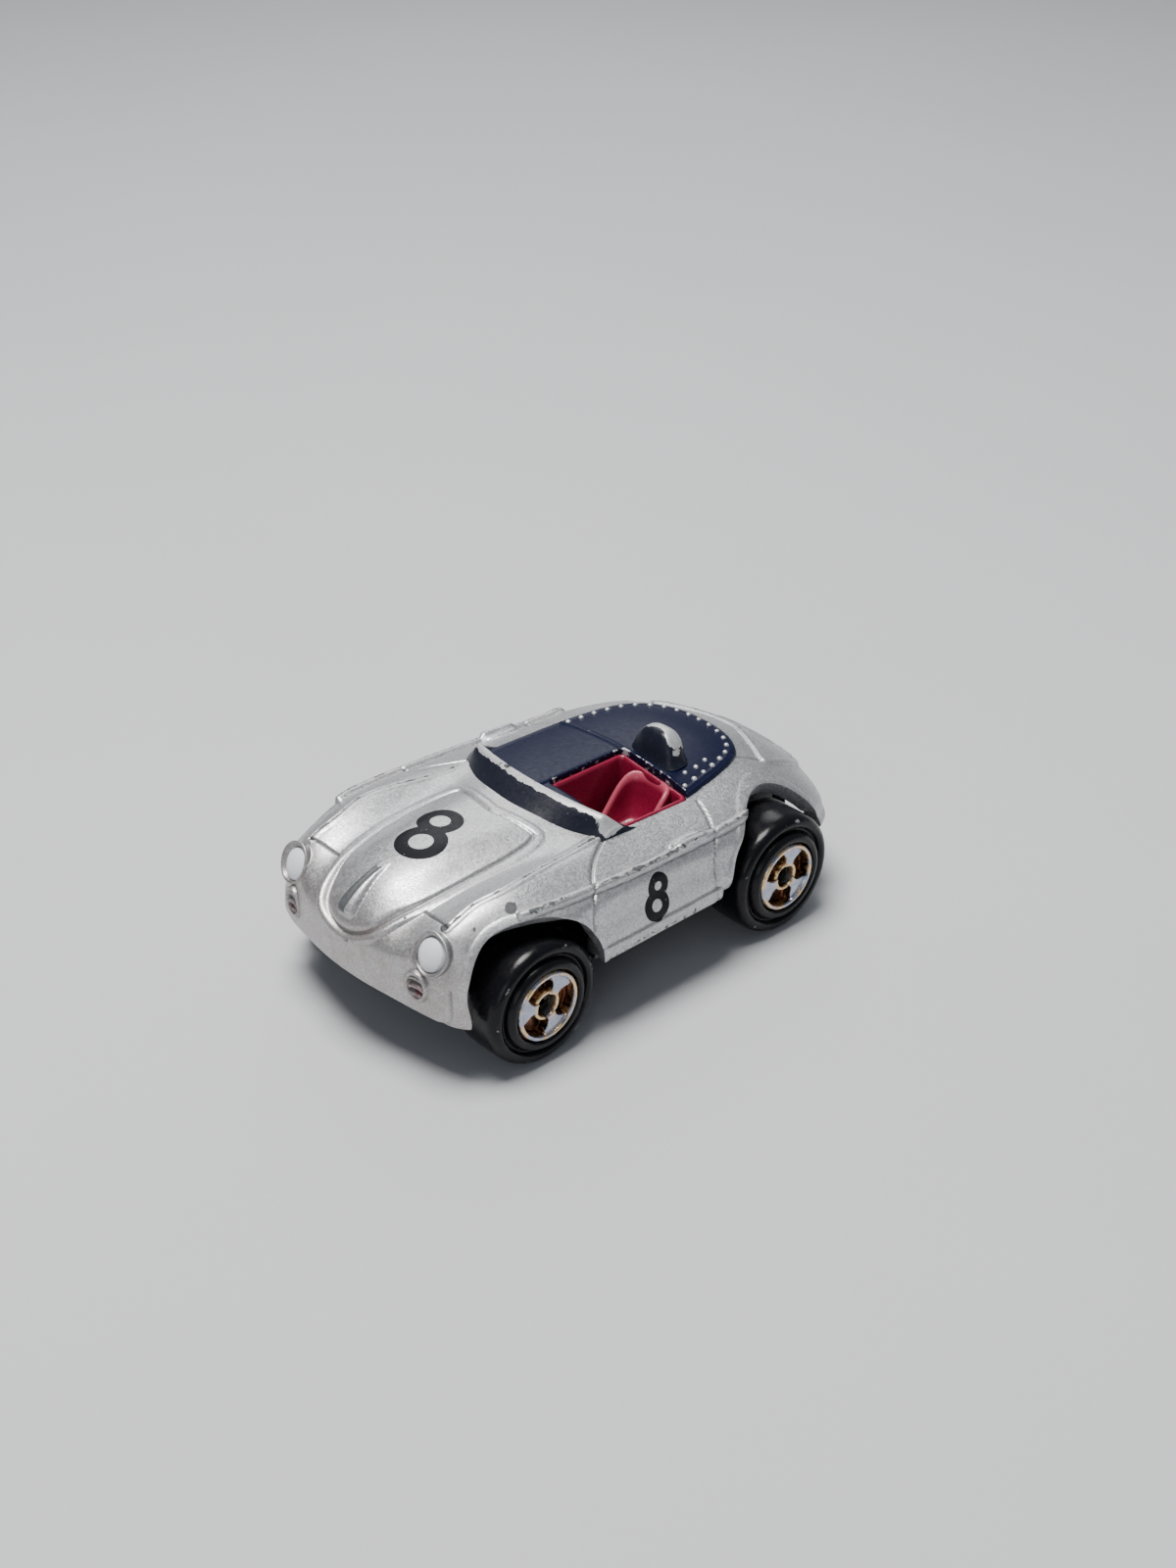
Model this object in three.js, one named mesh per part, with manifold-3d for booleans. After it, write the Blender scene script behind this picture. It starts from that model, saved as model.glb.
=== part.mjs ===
// Pull back car: a micro-size toy roadster. Die-cast body shell, moulded interior,
// black base, four plastic wheels with plated inserts, and a spring motor on the rear axle.
// Millimetres. +X forward, +Y the car's left, +Z up, z = 0 on the ground.
import * as THREE from 'three';
import { mergeVertices } from 'three/addons/utils/BufferGeometryUtils.js';
import Module from 'manifold-3d';

const wasm = await Module();
wasm.setup();

// ---- Driving dimensions ----
const FRAME_SHIFT = 0.4;          // from mid-wheelbase to the middle of the overall length
const FRONT_AXLE_X = 9;
const REAR_AXLE_X = -9;
const WHEEL_RADIUS = 3.65;
const AXLE_Z = WHEEL_RADIUS;
const AXLE_RADIUS = 0.4;
const AXLE_HALF_LENGTH = 8.1;
const RUNNING_CLEARANCE = 0.06;   // radial, shaft in bearing
const FIT_GAP = 0.05;             // between parts that sit against each other
const SEAT_GAP = 0.12;            // between the larger mouldings
const PANEL_RISE = 0.14;          // hood and engine lid above the body
const COVER_RISE = 0.26;          // tonneau cover above the deck
const BASE_BOTTOM = 1.9;
const BASE_TOP = 4.5;
const BASE_HALF_WIDTH = 4.9;
const GEAR_MODULE = 0.2;
const PINION_TEETH = 8;
const WHEEL_TEETH = 20;
const MESH_DISTANCE = GEAR_MODULE * (PINION_TEETH + WHEEL_TEETH) / 2;

// Outer skin of the body, station by station from nose to tail. Each station runs from the top
// centre line over the flank, valley, fender crest, shoulder, belt, lower side, sill and tuck to
// the bottom centre line: [x, y, z].
const NOSE_TIP = [15.6, 0, 6.0];
const TAIL_TIP = [-16.4, 0, 5.35];
const STATIONS = [
  [[15.3, 0, 7.3], [15.25, 1.6, 7.2], [15.1, 2.9, 7.0], [14.95, 3.9, 6.8], [14.85, 4.4, 6.3],
    [14.85, 4.5, 5.8], [14.9, 4.2, 5.2], [15.0, 3.6, 4.6], [15.3, 1.9, 4.4], [15.45, 0, 4.45]],
  [[14.2, 0, 8.6], [14.1, 1.8, 8.4], [13.9, 3.6, 7.95], [13.6, 5.6, 8.3], [13.45, 6.8, 7.5],
    [13.5, 7.35, 6.4], [13.6, 7.45, 5.1], [13.8, 7.2, 3.7], [14.2, 3.8, 4.2], [14.5, 0, 4.35]],
  [[12.2, 0, 9.65], [12.2, 2.0, 9.3], [12.2, 3.7, 8.65], [12.0, 5.6, 9.15], [11.8, 7.1, 8.45],
    [11.7, 8.1, 7.25], [11.7, 8.5, 5.9], [11.8, 8.4, 3.9], [12.0, 4.2, 4.3], [12.2, 0, 4.45]],
  [[9, 0, 10.05], [9, 2.0, 9.85], [9, 3.9, 9.15], [9, 5.8, 9.7], [9, 7.4, 9.05],
    [9, 8.6, 8.0], [9, 8.85, 6.4], [9, 8.55, 4.75], [9, 4.5, 4.6], [9, 0, 4.6]],
  [[5, 0, 9.9], [5, 2.1, 9.8], [5, 4.2, 9.35], [5, 5.9, 9.5], [5, 7.4, 9.0],
    [5, 8.6, 8.15], [5, 8.85, 6.6], [5, 8.6, 4.8], [5, 4.5, 4.6], [5, 0, 4.6]],
  [[1, 0, 9.85], [1, 2.1, 9.8], [1, 4.2, 9.55], [1, 5.8, 9.25], [1, 7.3, 8.75],
    [1, 8.5, 8.05], [1, 8.8, 6.7], [1, 8.6, 4.8], [1, 4.5, 4.6], [1, 0, 4.6]],
  [[-4.4, 0, 9.75], [-4.4, 2.1, 9.65], [-4.4, 4.2, 9.4], [-4.4, 5.8, 9.0], [-4.4, 7.2, 8.5],
    [-4.4, 8.4, 7.7], [-4.4, 8.8, 6.5], [-4.4, 8.6, 4.8], [-4.4, 4.5, 4.6], [-4.4, 0, 4.6]],
  [[-9, 0, 9.6], [-9, 2.1, 9.5], [-9, 4.0, 9.2], [-9, 5.7, 8.75], [-9, 7.2, 8.1],
    [-9, 8.4, 7.2], [-9, 8.7, 6.2], [-9, 8.45, 4.85], [-9, 4.5, 4.6], [-9, 0, 4.6]],
  [[-12.9, 0, 8.35], [-12.9, 2.0, 8.25], [-12.8, 3.8, 7.95], [-12.7, 5.4, 7.5], [-12.6, 6.8, 6.9],
    [-12.5, 7.7, 6.2], [-12.5, 7.9, 5.5], [-12.6, 7.7, 4.8], [-12.8, 4.2, 4.6], [-12.9, 0, 4.6]],
  [[-15.3, 0, 6.8], [-15.3, 1.9, 6.7], [-15.15, 3.5, 6.45], [-14.9, 4.9, 6.1], [-14.7, 5.8, 5.8],
    [-14.5, 6.4, 5.5], [-14.5, 6.5, 5.15], [-14.7, 6.2, 4.8], [-15.1, 3.2, 4.65], [-15.3, 0, 4.65]],
  [[-16.2, 0, 5.8], [-16.15, 1.2, 5.75], [-16.05, 2.2, 5.65], [-15.95, 3.0, 5.5], [-15.9, 3.4, 5.4],
    [-15.9, 3.5, 5.25], [-15.9, 3.4, 5.05], [-15.95, 3.0, 4.9], [-16.1, 1.5, 4.8], [-16.2, 0, 4.8]],
];
const SILL_POINT = 7;             // from here on a station is the sill and the tuck under it

// ---- Materials ----
const material = (colour, metalness, roughness) =>
  new THREE.MeshStandardMaterial({ color: colour, metalness, roughness });
const COLOURS = {
  silver_paint: [0xb9bcc0, 0.7, 0.4],
  black_plastic: [0x141416, 0, 0.3],
  red_plastic: [0xa31220, 0, 0.3],
  plated_insert: [0xb87b45, 0.9, 0.3],
  steel: [0xa8abb0, 1, 0.35],
  white_plastic: [0xe6e4dc, 0, 0.45],
  brass: [0xb9974a, 1, 0.35],
};

// ---- Solids ----
function solid(geometry) {
  const bare = new THREE.BufferGeometry();
  bare.setAttribute('position', geometry.getAttribute('position').clone());
  if (geometry.index) {
    bare.setIndex(geometry.index.clone());
  }
  const merged = mergeVertices(bare, 1e-4);
  return new wasm.Manifold(new wasm.Mesh({
    numProp: 3,
    vertProperties: new Float32Array(merged.getAttribute('position').array),
    triVerts: new Uint32Array(merged.index.array),
  }));
}

function geometryOf(manifold) {
  const mesh = manifold.getMesh();
  const geometry = new THREE.BufferGeometry();
  geometry.setAttribute('position', new THREE.BufferAttribute(new Float32Array(mesh.vertProperties), 3));
  geometry.setIndex(new THREE.BufferAttribute(new Uint32Array(mesh.triVerts), 1));
  geometry.computeVertexNormals();
  return geometry;
}

function box(x0, x1, y0, y1, z0, z1) {
  const shape = new THREE.BoxGeometry(x1 - x0, y1 - y0, z1 - z0);
  return solid(shape.translate((x0 + x1) / 2, (y0 + y1) / 2, (z0 + z1) / 2));
}

function cylinderY(radius, y0, y1, x, z, segments = 28) {
  const shape = new THREE.CylinderGeometry(radius, radius, y1 - y0, segments);
  return solid(shape.translate(x, (y0 + y1) / 2, z));
}

function cylinderZ(radius, z0, z1, x, y, segments = 24) {
  const shape = new THREE.CylinderGeometry(radius, radius, z1 - z0, segments).rotateX(Math.PI / 2);
  return solid(shape.translate(x, y, (z0 + z1) / 2));
}

function ellipsoid(x, y, z, rx, ry, rz, columns = 20, rows = 12) {
  return solid(new THREE.SphereGeometry(1, columns, rows).scale(rx, ry, rz).translate(x, y, z));
}

// A closed outline in plan, given as [x, y], standing from z0 to z1.
function prismZ(outline, z0, z1) {
  const shape = new THREE.Shape(outline.map(([x, y]) => new THREE.Vector2(x, y)));
  const block = new THREE.ExtrudeGeometry(shape, { depth: z1 - z0, bevelEnabled: false });
  return solid(block.translate(0, 0, z0));
}

// A closed outline in side view, given as [x, z], running from y0 to y1.
function prismY(outline, y0, y1, hole) {
  const shape = new THREE.Shape(outline.map(([x, z]) => new THREE.Vector2(x, z)));
  if (hole) {
    shape.holes.push(new THREE.Path(hole.map(([x, z]) => new THREE.Vector2(x, z))));
  }
  const block = new THREE.ExtrudeGeometry(shape, { depth: y1 - y0, bevelEnabled: false });
  return solid(block.rotateX(Math.PI / 2).translate(0, y1, 0));
}

// A round bead of the given radius along a list of points.
function bead(points, radius, steps) {
  const path = new THREE.CatmullRomCurve3(points.map((p) => new THREE.Vector3(...p)));
  const section = new THREE.Shape();
  section.absarc(0, 0, radius, 0, Math.PI * 2);
  return solid(new THREE.ExtrudeGeometry(section, { steps, curveSegments: 4, extrudePath: path }));
}

// A profile of [radius, y] points turned about the wheel axis.
function turnedY(profile, x, z, segments) {
  const points = profile.map(([radius, y]) => new THREE.Vector2(radius, y));
  return solid(new THREE.LatheGeometry(points, segments).translate(x, 0, z));
}

function mirrored(manifold) {
  return manifold.mirror([0, 1, 0]);
}

function bothSides(manifold) {
  return manifold.add(mirrored(manifold));
}

// ---- Body skin ----
// Natural cubic spline through equally spaced knots.
function naturalSpline(knots) {
  const last = knots.length - 1;
  const bend = new Array(last + 1).fill(0);
  const gain = new Array(last + 1).fill(0);
  for (let i = 1; i < last; i += 1) {
    const pivot = 4 - gain[i - 1];
    gain[i] = 1 / pivot;
    bend[i] = (6 * (knots[i + 1] - 2 * knots[i] + knots[i - 1]) - bend[i - 1]) / pivot;
  }
  for (let i = last - 1; i > 0; i -= 1) {
    bend[i] -= gain[i] * bend[i + 1];
  }
  return (t) => {
    const i = Math.min(Math.floor(t), last - 1);
    const s = t - i;
    const r = 1 - s;
    return r * knots[i] + s * knots[i + 1] + ((r ** 3 - r) * bend[i] + (s ** 3 - s) * bend[i + 1]) / 6;
  };
}

function splineThrough(points) {
  const axes = [0, 1, 2].map((axis) => naturalSpline(points.map((point) => point[axis])));
  return (t) => axes.map((axis) => axis(t));
}

// The whole ring of a station: right bottom centre, over the top, to the left bottom centre.
function wholeRing(half) {
  const right = half.slice(1).reverse().map(([x, y, z]) => [x, -y, z]);
  return [...right, ...half];
}

// Splines from nose to tail, one for each point round a station.
function skinColumns(alter) {
  const pole = (tip) => STATIONS[0].map(() => tip);
  const rings = [pole(NOSE_TIP), ...STATIONS, pole(TAIL_TIP)]
    .map((half) => wholeRing(half.map(alter)));
  return rings[0].map((_, k) => splineThrough(rings.map((ring) => ring[k])));
}

const SKIN = skinColumns((point) => point);

// Point on the left of the skin: nose to tail by station, then top centre line to bottom.
function onSkin(station, round) {
  return splineThrough(SKIN.map((column) => column(station)))(STATIONS[0].length - 1 + round);
}

function skinSolid(alter, alongCount, aroundCount) {
  const columns = skinColumns(alter);
  const positions = [];
  const rows = [];
  for (let i = 0; i <= alongCount; i += 1) {
    const atEnd = i === 0 || i === alongCount;
    const t = (i / alongCount) * (STATIONS.length + 1);
    const ring = splineThrough(columns.map((column) => column(t)));
    const row = [];
    for (let j = 0; j < aroundCount; j += 1) {
      if (!atEnd || j === 0) {
        positions.push(...ring((j / aroundCount) * (columns.length - 1)));
      }
      row.push(positions.length / 3 - 1);
    }
    rows.push(row);
  }
  const index = [];
  for (let i = 0; i < alongCount; i += 1) {
    for (let j = 0; j < aroundCount; j += 1) {
      const k = (j + 1) % aroundCount;
      const [a, b, c, d] = [rows[i][j], rows[i][k], rows[i + 1][k], rows[i + 1][j]];
      if (a !== b) {
        index.push(a, b, c);
      }
      if (c !== d) {
        index.push(a, c, d);
      }
    }
  }
  const geometry = new THREE.BufferGeometry();
  geometry.setAttribute('position', new THREE.BufferAttribute(new Float32Array(positions), 3));
  geometry.setIndex(index);
  return solid(geometry);
}

function bodyBlank(rise = 0) {
  return skinSolid(([x, y, z]) => [x, y, z + rise], 34, 42);
}

// The hollow inside the casting: the skin drawn in by the wall, and open underneath.
function bodyHollow() {
  const draw = ([x, y, z], point) => {
    const drop = point >= SILL_POINT ? 2 : 0;
    return [x * 0.94, y * 0.89, 4.6 + (z - 4.6) * 0.83 - drop];
  };
  return skinSolid(draw, 20, 24);
}

// Wheel opening in side view, with a squarer front half than rear half.
function archOutline(x, z, radius, frontPower) {
  const points = [];
  for (let i = 0; i < 40; i += 1) {
    const angle = (i / 40) * Math.PI * 2;
    const [c, s] = [Math.cos(angle), Math.sin(angle)];
    const power = c > 0 ? frontPower : 1;
    const reach = radius * (Math.abs(c) ** (2 * power) + Math.abs(s) ** (2 * power)) ** (-0.5 / power);
    points.push([x + reach * c, z + reach * s]);
  }
  return points;
}

const HOOD_OUTLINE = [
  [4.75, 3.2], [4.6, 3.9], [5.1, 4.25], [8.5, 3.95], [11.6, 3.3], [13.6, 2.5], [14.6, 1.3], [14.95, 0],
];
const ENGINE_LID_OUTLINE = [
  [-10.4, 2.0], [-10.8, 2.6], [-12.5, 2.9], [-14.6, 2.6], [-15.4, 1.6], [-15.6, 0],
];
const COVER_OUTLINE = [
  [2.6, 2.4], [1.9, 5.5], [-4.4, 5.45], [-6.9, 4.9], [-8.4, 4.1], [-9.3, 2.6], [-9.7, 0.9],
];
// Trim along the skin, by station and place round it.
const HOOD_HANDLE = [[1.35, 0], [1.9, 0], [2.4, 0], [2.9, 0]];
const BELT = [[3.8, 4.4], [4.1, 4.45], [4.6, 4.65], [5.4, 4.75], [6.3, 4.85], [7, 4.75], [7.75, 4.6]];
const DOOR_HANDLE = [[6.45, 4.6], [6.6, 4.55], [6.75, 4.55]];
const COCKPIT = { front: 1.04, back: -4.55, inner: 0.1, outer: 5.5 };

function symmetricOutline(half) {
  const other = half.slice().reverse().filter(([, y]) => y > 0).map(([x, y]) => [x, -y]);
  return [...half, ...other];
}

// Windscreen frame: a curved band that leans back from the cowl.
function windscreen() {
  const count = 20;
  const band = (side, u) => {
    const y = 5.65 * u;
    const foot = 4.45 - 2.35 * u * u;
    const top = 2.5 - 0.85 * u * u;
    const height = 10.8 - 0.25 * u * u;
    const thickness = 0.5;
    const corners = [[foot, 9.2], [top, height], [top - thickness, height], [foot - 3.2 * thickness, 9.2]];
    return [corners[side][0], y, corners[side][1]];
  };
  const positions = [];
  const index = [];
  for (let i = 0; i <= count; i += 1) {
    for (let side = 0; side < 4; side += 1) {
      positions.push(...band(side, (2 * i) / count - 1));
    }
  }
  for (let i = 0; i < count; i += 1) {
    for (let side = 0; side < 4; side += 1) {
      const next = (side + 1) % 4;
      const [a, b] = [i * 4 + side, i * 4 + next];
      index.push(a, b + 4, b, a, a + 4, b + 4);
    }
  }
  const end = count * 4;
  index.push(0, 1, 2, 0, 2, 3, end, end + 2, end + 1, end, end + 3, end + 2);
  const geometry = new THREE.BufferGeometry();
  geometry.setAttribute('position', new THREE.BufferAttribute(new Float32Array(positions), 3));
  geometry.setIndex(index);
  return solid(geometry);
}

// An oval disc square to a lamp's facing direction, from one depth to another along it.
function lampDisc({ x, y, z, yaw, pitch }, radiusAcross, radiusUp, from, to) {
  const shape = new THREE.CylinderGeometry(1, 1, to - from, 20).rotateZ(Math.PI / 2);
  shape.translate((from + to) / 2, 0, 0).scale(1, radiusAcross, radiusUp);
  return solid(shape.rotateY(-pitch).rotateZ(yaw).translate(x, y, z));
}

const HEADLIGHT = { x: 13.95, y: 5.72, z: 7.55, yaw: 0.1, pitch: 0.41 };
const LENS_RADIUS = 0.98;
const SIGNAL = { x: 14.5, y: 5.3, z: 5.75, yaw: 0.15, pitch: 0 };

function motorPocket() {
  return prismY(CASE_OUTLINE, -CASE_HALF_WIDTH, CASE_HALF_WIDTH);
}

function bodyShell() {
  const raised = (outline, rise) => bodyBlank(rise).intersect(prismZ(outline, 5.2, 14));
  let body = bodyBlank();
  body = body.add(raised(symmetricOutline(HOOD_OUTLINE), PANEL_RISE));
  body = body.add(raised(symmetricOutline(ENGINE_LID_OUTLINE), PANEL_RISE));
  body = body.add(raised(symmetricOutline(COVER_OUTLINE), COVER_RISE));
  body = body.subtract(bodyHollow());
  body = body.add(windscreen());
  body = body.add(ellipsoid(-5.8, 1.85, 9.4, 1.0, 1.8, 2.2));
  body = body.add(bead(HOOD_HANDLE.map(([station, round]) => onSkin(station, round)), 0.34, 6));
  const belt = bead(BELT.map(([station, round]) => onSkin(station, round)), 0.24, 14);
  const handle = bead(DOOR_HANDLE.map(([station, round]) => onSkin(station, round)), 0.3, 5);
  const sill = bead([[5.4, 8.7, 4.95], [1, 8.7, 4.95], [-3.6, 8.66, 4.95]], 0.28, 4);
  body = body.add(bothSides(belt.add(handle).add(sill)));

  const bezel = lampDisc(HEADLIGHT, 1.13, 1.15, -0.87, 0.19);
  const bowl = lampDisc(HEADLIGHT, LENS_RADIUS, LENS_RADIUS, -0.1, 3);
  const signal = lampDisc(SIGNAL, 0.7, 0.74, -0.75, 0.15);
  body = body.add(bothSides(bezel)).subtract(bothSides(bowl)).add(bothSides(signal));

  const frontArch = prismY(archOutline(9.2, 4.5, 4.15, 1.35), 5.3, 12);
  const rearArch = prismY(archOutline(-8.6, 4.2, 4.3, 1), 5.3, 12);
  body = body.subtract(bothSides(frontArch.add(rearArch)));
  body = body.subtract(box(COCKPIT.back, COCKPIT.front, COCKPIT.inner, COCKPIT.outer, 4, 12));
  body = body.subtract(motorPocket());

  for (const post of POSTS) {
    body = body.add(cylinderZ(post.radius, BASE_BOTTOM + 0.9, post.top, post.x, 0));
    body = body.subtract(cylinderZ(0.4, BASE_BOTTOM, BASE_BOTTOM + 2.4, post.x, 0));
  }
  return body;
}

// ---- Base ----
const POSTS = [
  { x: 5.4, radius: 0.85, top: 9.4 },
  { x: -14.35, radius: 0.6, top: 6.9 },
];

function chassisBase() {
  const spine = [[13.4, 3.2], [12.8, BASE_HALF_WIDTH], [-13.2, BASE_HALF_WIDTH], [-14.9, 3.2]];
  let base = prismZ([...spine, ...spine.slice().reverse().map(([x, y]) => [x, -y])], BASE_BOTTOM, BASE_TOP);
  base = base.add(box(-3.4, 4.4, -7.6, 7.6, 3.7, BASE_TOP));
  base = base.add(bothSides(box(5.7, 12.6, BASE_HALF_WIDTH - 0.6, BASE_HALF_WIDTH, BASE_TOP - 1, 7.3)));
  base = base.add(bothSides(box(-12.0, -4.9, BASE_HALF_WIDTH - 0.6, BASE_HALF_WIDTH, BASE_TOP - 1, 6.8)));
  const ramp = [[11.6, BASE_BOTTOM - 1], [11.6, BASE_BOTTOM], [13.6, 3.9], [14, 3.9], [14, BASE_BOTTOM - 1]];
  base = base.subtract(prismY(ramp, -6, 6));
  base = base.subtract(box(-3.6, 4.2, -4.1, 4.1, BASE_BOTTOM + 0.8, 6));
  base = base.subtract(box(10.6, 11.6, -3.0, 3.0, BASE_BOTTOM + 0.8, 6));
  base = base.subtract(box(6.8, 7.6, -3.9, 3.9, BASE_BOTTOM + 0.8, 6));
  const gap = SEAT_GAP;
  base = base.subtract(box(CASE_BACK - gap, CASE_FRONT + gap, -CASE_HALF_WIDTH - gap, CASE_HALF_WIDTH + gap, 0, 6));
  base = base.subtract(cylinderY(AXLE_RADIUS + RUNNING_CLEARANCE, -6, 6, FRONT_AXLE_X, AXLE_Z));
  base = base.subtract(cylinderY(AXLE_RADIUS + 0.25, -6, 6, REAR_AXLE_X, AXLE_Z));
  for (const post of POSTS) {
    base = base.subtract(cylinderZ(post.radius + SEAT_GAP, BASE_BOTTOM + 0.8, 6, post.x, 0));
    base = base.subtract(cylinderZ(0.45, 0, 6, post.x, 0));
    base = base.subtract(cylinderZ(0.62, 0, BASE_BOTTOM + 0.3, post.x, 0));
  }
  return base;
}

function rivet(post) {
  const head = cylinderZ(0.56, BASE_BOTTOM + 0.03, BASE_BOTTOM + 0.25, post.x, 0);
  return head.add(cylinderZ(0.34, BASE_BOTTOM + 0.1, BASE_BOTTOM + 2.2, post.x, 0));
}

// ---- Interior ----
function interiorInsert() {
  const wall = 0.4;
  const [x0, x1] = [COCKPIT.back + SEAT_GAP, COCKPIT.front - SEAT_GAP];
  const [y0, y1] = [COCKPIT.inner + SEAT_GAP, COCKPIT.outer - SEAT_GAP];
  const floor = BASE_TOP + 0.9;
  let tub = box(x0, x1, y0, y1, BASE_TOP + SEAT_GAP, 8.9);
  tub = tub.subtract(box(x0 + wall, x1 - wall, y0 + wall, y1 - wall, floor, 12));
  const middle = (y0 + y1) / 2;
  const cushion = ellipsoid(-2.0, middle, floor + 0.5, 1.5, 1.75, 0.95);
  const back = solid(new THREE.SphereGeometry(1, 20, 14).scale(0.6, 1.75, 2.5).rotateY(-0.35)
    .translate(-3.15, middle, floor + 2.1));
  const room = box(x0 + 0.1, x1 - 0.1, y0 + 0.1, y1 - 0.1, BASE_TOP + 0.3, 9.5);
  return tub.add(cushion.add(back).intersect(room));
}

// ---- Wheels ----
// One wheel in the plane of its axle, turned about +Y, for the left side of the car.
const WHEEL_PROFILE = [
  [AXLE_RADIUS + 0.02, 6.0], [1.2, 6.0], [1.2, 7.1], [2.75, 7.1], [2.95, 5.8], [3.5, 5.8], [WHEEL_RADIUS, 6.1],
  [WHEEL_RADIUS, 8.25], [3.48, 8.75], [3.15, 8.9], [2.85, 8.74], [2.65, 8.98], [2.4, 9.12], [2.12, 9.0],
  [2.12, 7.9], [AXLE_RADIUS + 0.02, 7.9],
];

function wheel(x) {
  return turnedY([...WHEEL_PROFILE, WHEEL_PROFILE[0]], x, AXLE_Z, 36);
}

const INSERT_FACE = 9.18;
const SPOKES = 3;

function hubInsert(x) {
  const rim = [[0.3, 8.15], [2.07, 8.15], [2.07, 8.9], [2.0, 9.1], [1.9, INSERT_FACE], [1.78, 9.05], [1.7, 8.35],
    [0.3, 8.35]];
  let hub = turnedY([...rim, rim[0]], x, AXLE_Z, 26);
  hub = hub.add(cylinderY(0.72, 8.2, 9.0, x, AXLE_Z, 16));
  for (let i = 0; i < SPOKES; i += 1) {
    const angle = Math.PI / 4 + (i * Math.PI * 2) / SPOKES;
    const spoke = new THREE.BoxGeometry(1.5, 0.8, 0.85).translate(1.15, 8.62, 0).rotateY(-angle);
    hub = hub.add(solid(spoke.translate(x, 0, AXLE_Z)));
  }
  return hub.subtract(cylinderY(0.4, 8.0, 10, x, AXLE_Z, 16));
}

function axle(x) {
  return cylinderY(AXLE_RADIUS, -AXLE_HALF_LENGTH, AXLE_HALF_LENGTH, x, AXLE_Z);
}

// ---- Motor ----
// Three shafts: the rear axle, the compound gear above it and the spring drum behind.
const SPRING_X = REAR_AXLE_X - 1.88;
const SPRING_Z = AXLE_Z + 1.96;
const SHAFT_SPAN = Math.hypot(SPRING_X - REAR_AXLE_X, SPRING_Z - AXLE_Z);
const APEX_HEIGHT = Math.sqrt(MESH_DISTANCE ** 2 - (SHAFT_SPAN / 2) ** 2);
const COMPOUND_X = (REAR_AXLE_X + SPRING_X) / 2 + (APEX_HEIGHT * (SPRING_Z - AXLE_Z)) / SHAFT_SPAN;
const COMPOUND_Z = (AXLE_Z + SPRING_Z) / 2 + (APEX_HEIGHT * (REAR_AXLE_X - SPRING_X)) / SHAFT_SPAN;
const CASE_FRONT = -5.0;
const CASE_BACK = -13.7;
const CASE_HALF_WIDTH = 3.2;
const CASE_WALL = 0.3;
const CASE_OUTLINE = [
  [CASE_FRONT, 2.0], [CASE_FRONT, 7.6], [-6.2, 9.05], [-8.5, 9.05], [-12.3, 8.05], [CASE_BACK, 6.7],
  [CASE_BACK, 3.2], [-12.6, 2.0],
];
const ARBOR_RADIUS = 0.3;
const FRONT_PLANE = [0.45, 1.25];   // axle pinion and the compound gear's large wheel
const BACK_PLANE = [-0.6, 0.2];     // the compound gear's pinion and the spring gear

// Involute gear in the side-view plane, one tooth centred on the given angle.
function gearOutline(teeth, centreX, centreZ, toothAngle, addendum) {
  const pitch = (GEAR_MODULE * teeth) / 2;
  const base = pitch * Math.cos(Math.PI / 9);
  const root = pitch - 1.2 * GEAR_MODULE;
  const tip = pitch + addendum * GEAR_MODULE;
  const involute = (radius) => {
    const alpha = Math.acos(Math.min(1, base / radius));
    return Math.tan(alpha) - alpha;
  };
  const halfTooth = Math.PI / (2 * teeth) - 0.02 / pitch;
  const halfAngle = (radius) => halfTooth + involute(pitch) - involute(radius);
  const radii = [root, pitch, (pitch + tip) / 2, tip];
  const points = [];
  for (let i = 0; i < teeth; i += 1) {
    const middle = toothAngle + (i * Math.PI * 2) / teeth;
    const flank = (radius, side) => {
      const angle = middle + side * halfAngle(Math.max(radius, base));
      points.push([centreX + radius * Math.cos(angle), centreZ + radius * Math.sin(angle)]);
    };
    radii.forEach((radius) => flank(radius, -1));
    radii.slice().reverse().forEach((radius) => flank(radius, 1));
  }
  return points;
}

function gear(teeth, x, z, toothAngle, [y0, y1], addendum) {
  return prismY(gearOutline(teeth, x, z, toothAngle, addendum), y0, y1);
}

const AXLE_TO_COMPOUND = Math.atan2(COMPOUND_Z - AXLE_Z, COMPOUND_X - REAR_AXLE_X);
const COMPOUND_TO_SPRING = Math.atan2(SPRING_Z - COMPOUND_Z, SPRING_X - COMPOUND_X);

function axlePinion() {
  const blank = gear(PINION_TEETH, REAR_AXLE_X, AXLE_Z, AXLE_TO_COMPOUND, FRONT_PLANE, 0.8);
  return blank.subtract(cylinderY(AXLE_RADIUS + 0.02, -4, 4, REAR_AXLE_X, AXLE_Z));
}

function compoundGear() {
  const gapAngle = AXLE_TO_COMPOUND + Math.PI + Math.PI / WHEEL_TEETH;
  const large = gear(WHEEL_TEETH, COMPOUND_X, COMPOUND_Z, gapAngle, FRONT_PLANE, 0.8);
  const small = gear(PINION_TEETH, COMPOUND_X, COMPOUND_Z, COMPOUND_TO_SPRING,
    [BACK_PLANE[0], FRONT_PLANE[0] + 0.05], 0.8);
  const bore = cylinderY(ARBOR_RADIUS + RUNNING_CLEARANCE, -4, 4, COMPOUND_X, COMPOUND_Z);
  return large.add(small).subtract(bore);
}

const DRUM_RADIUS = 1.85;
const DRUM_BACK = -2.5;

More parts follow.
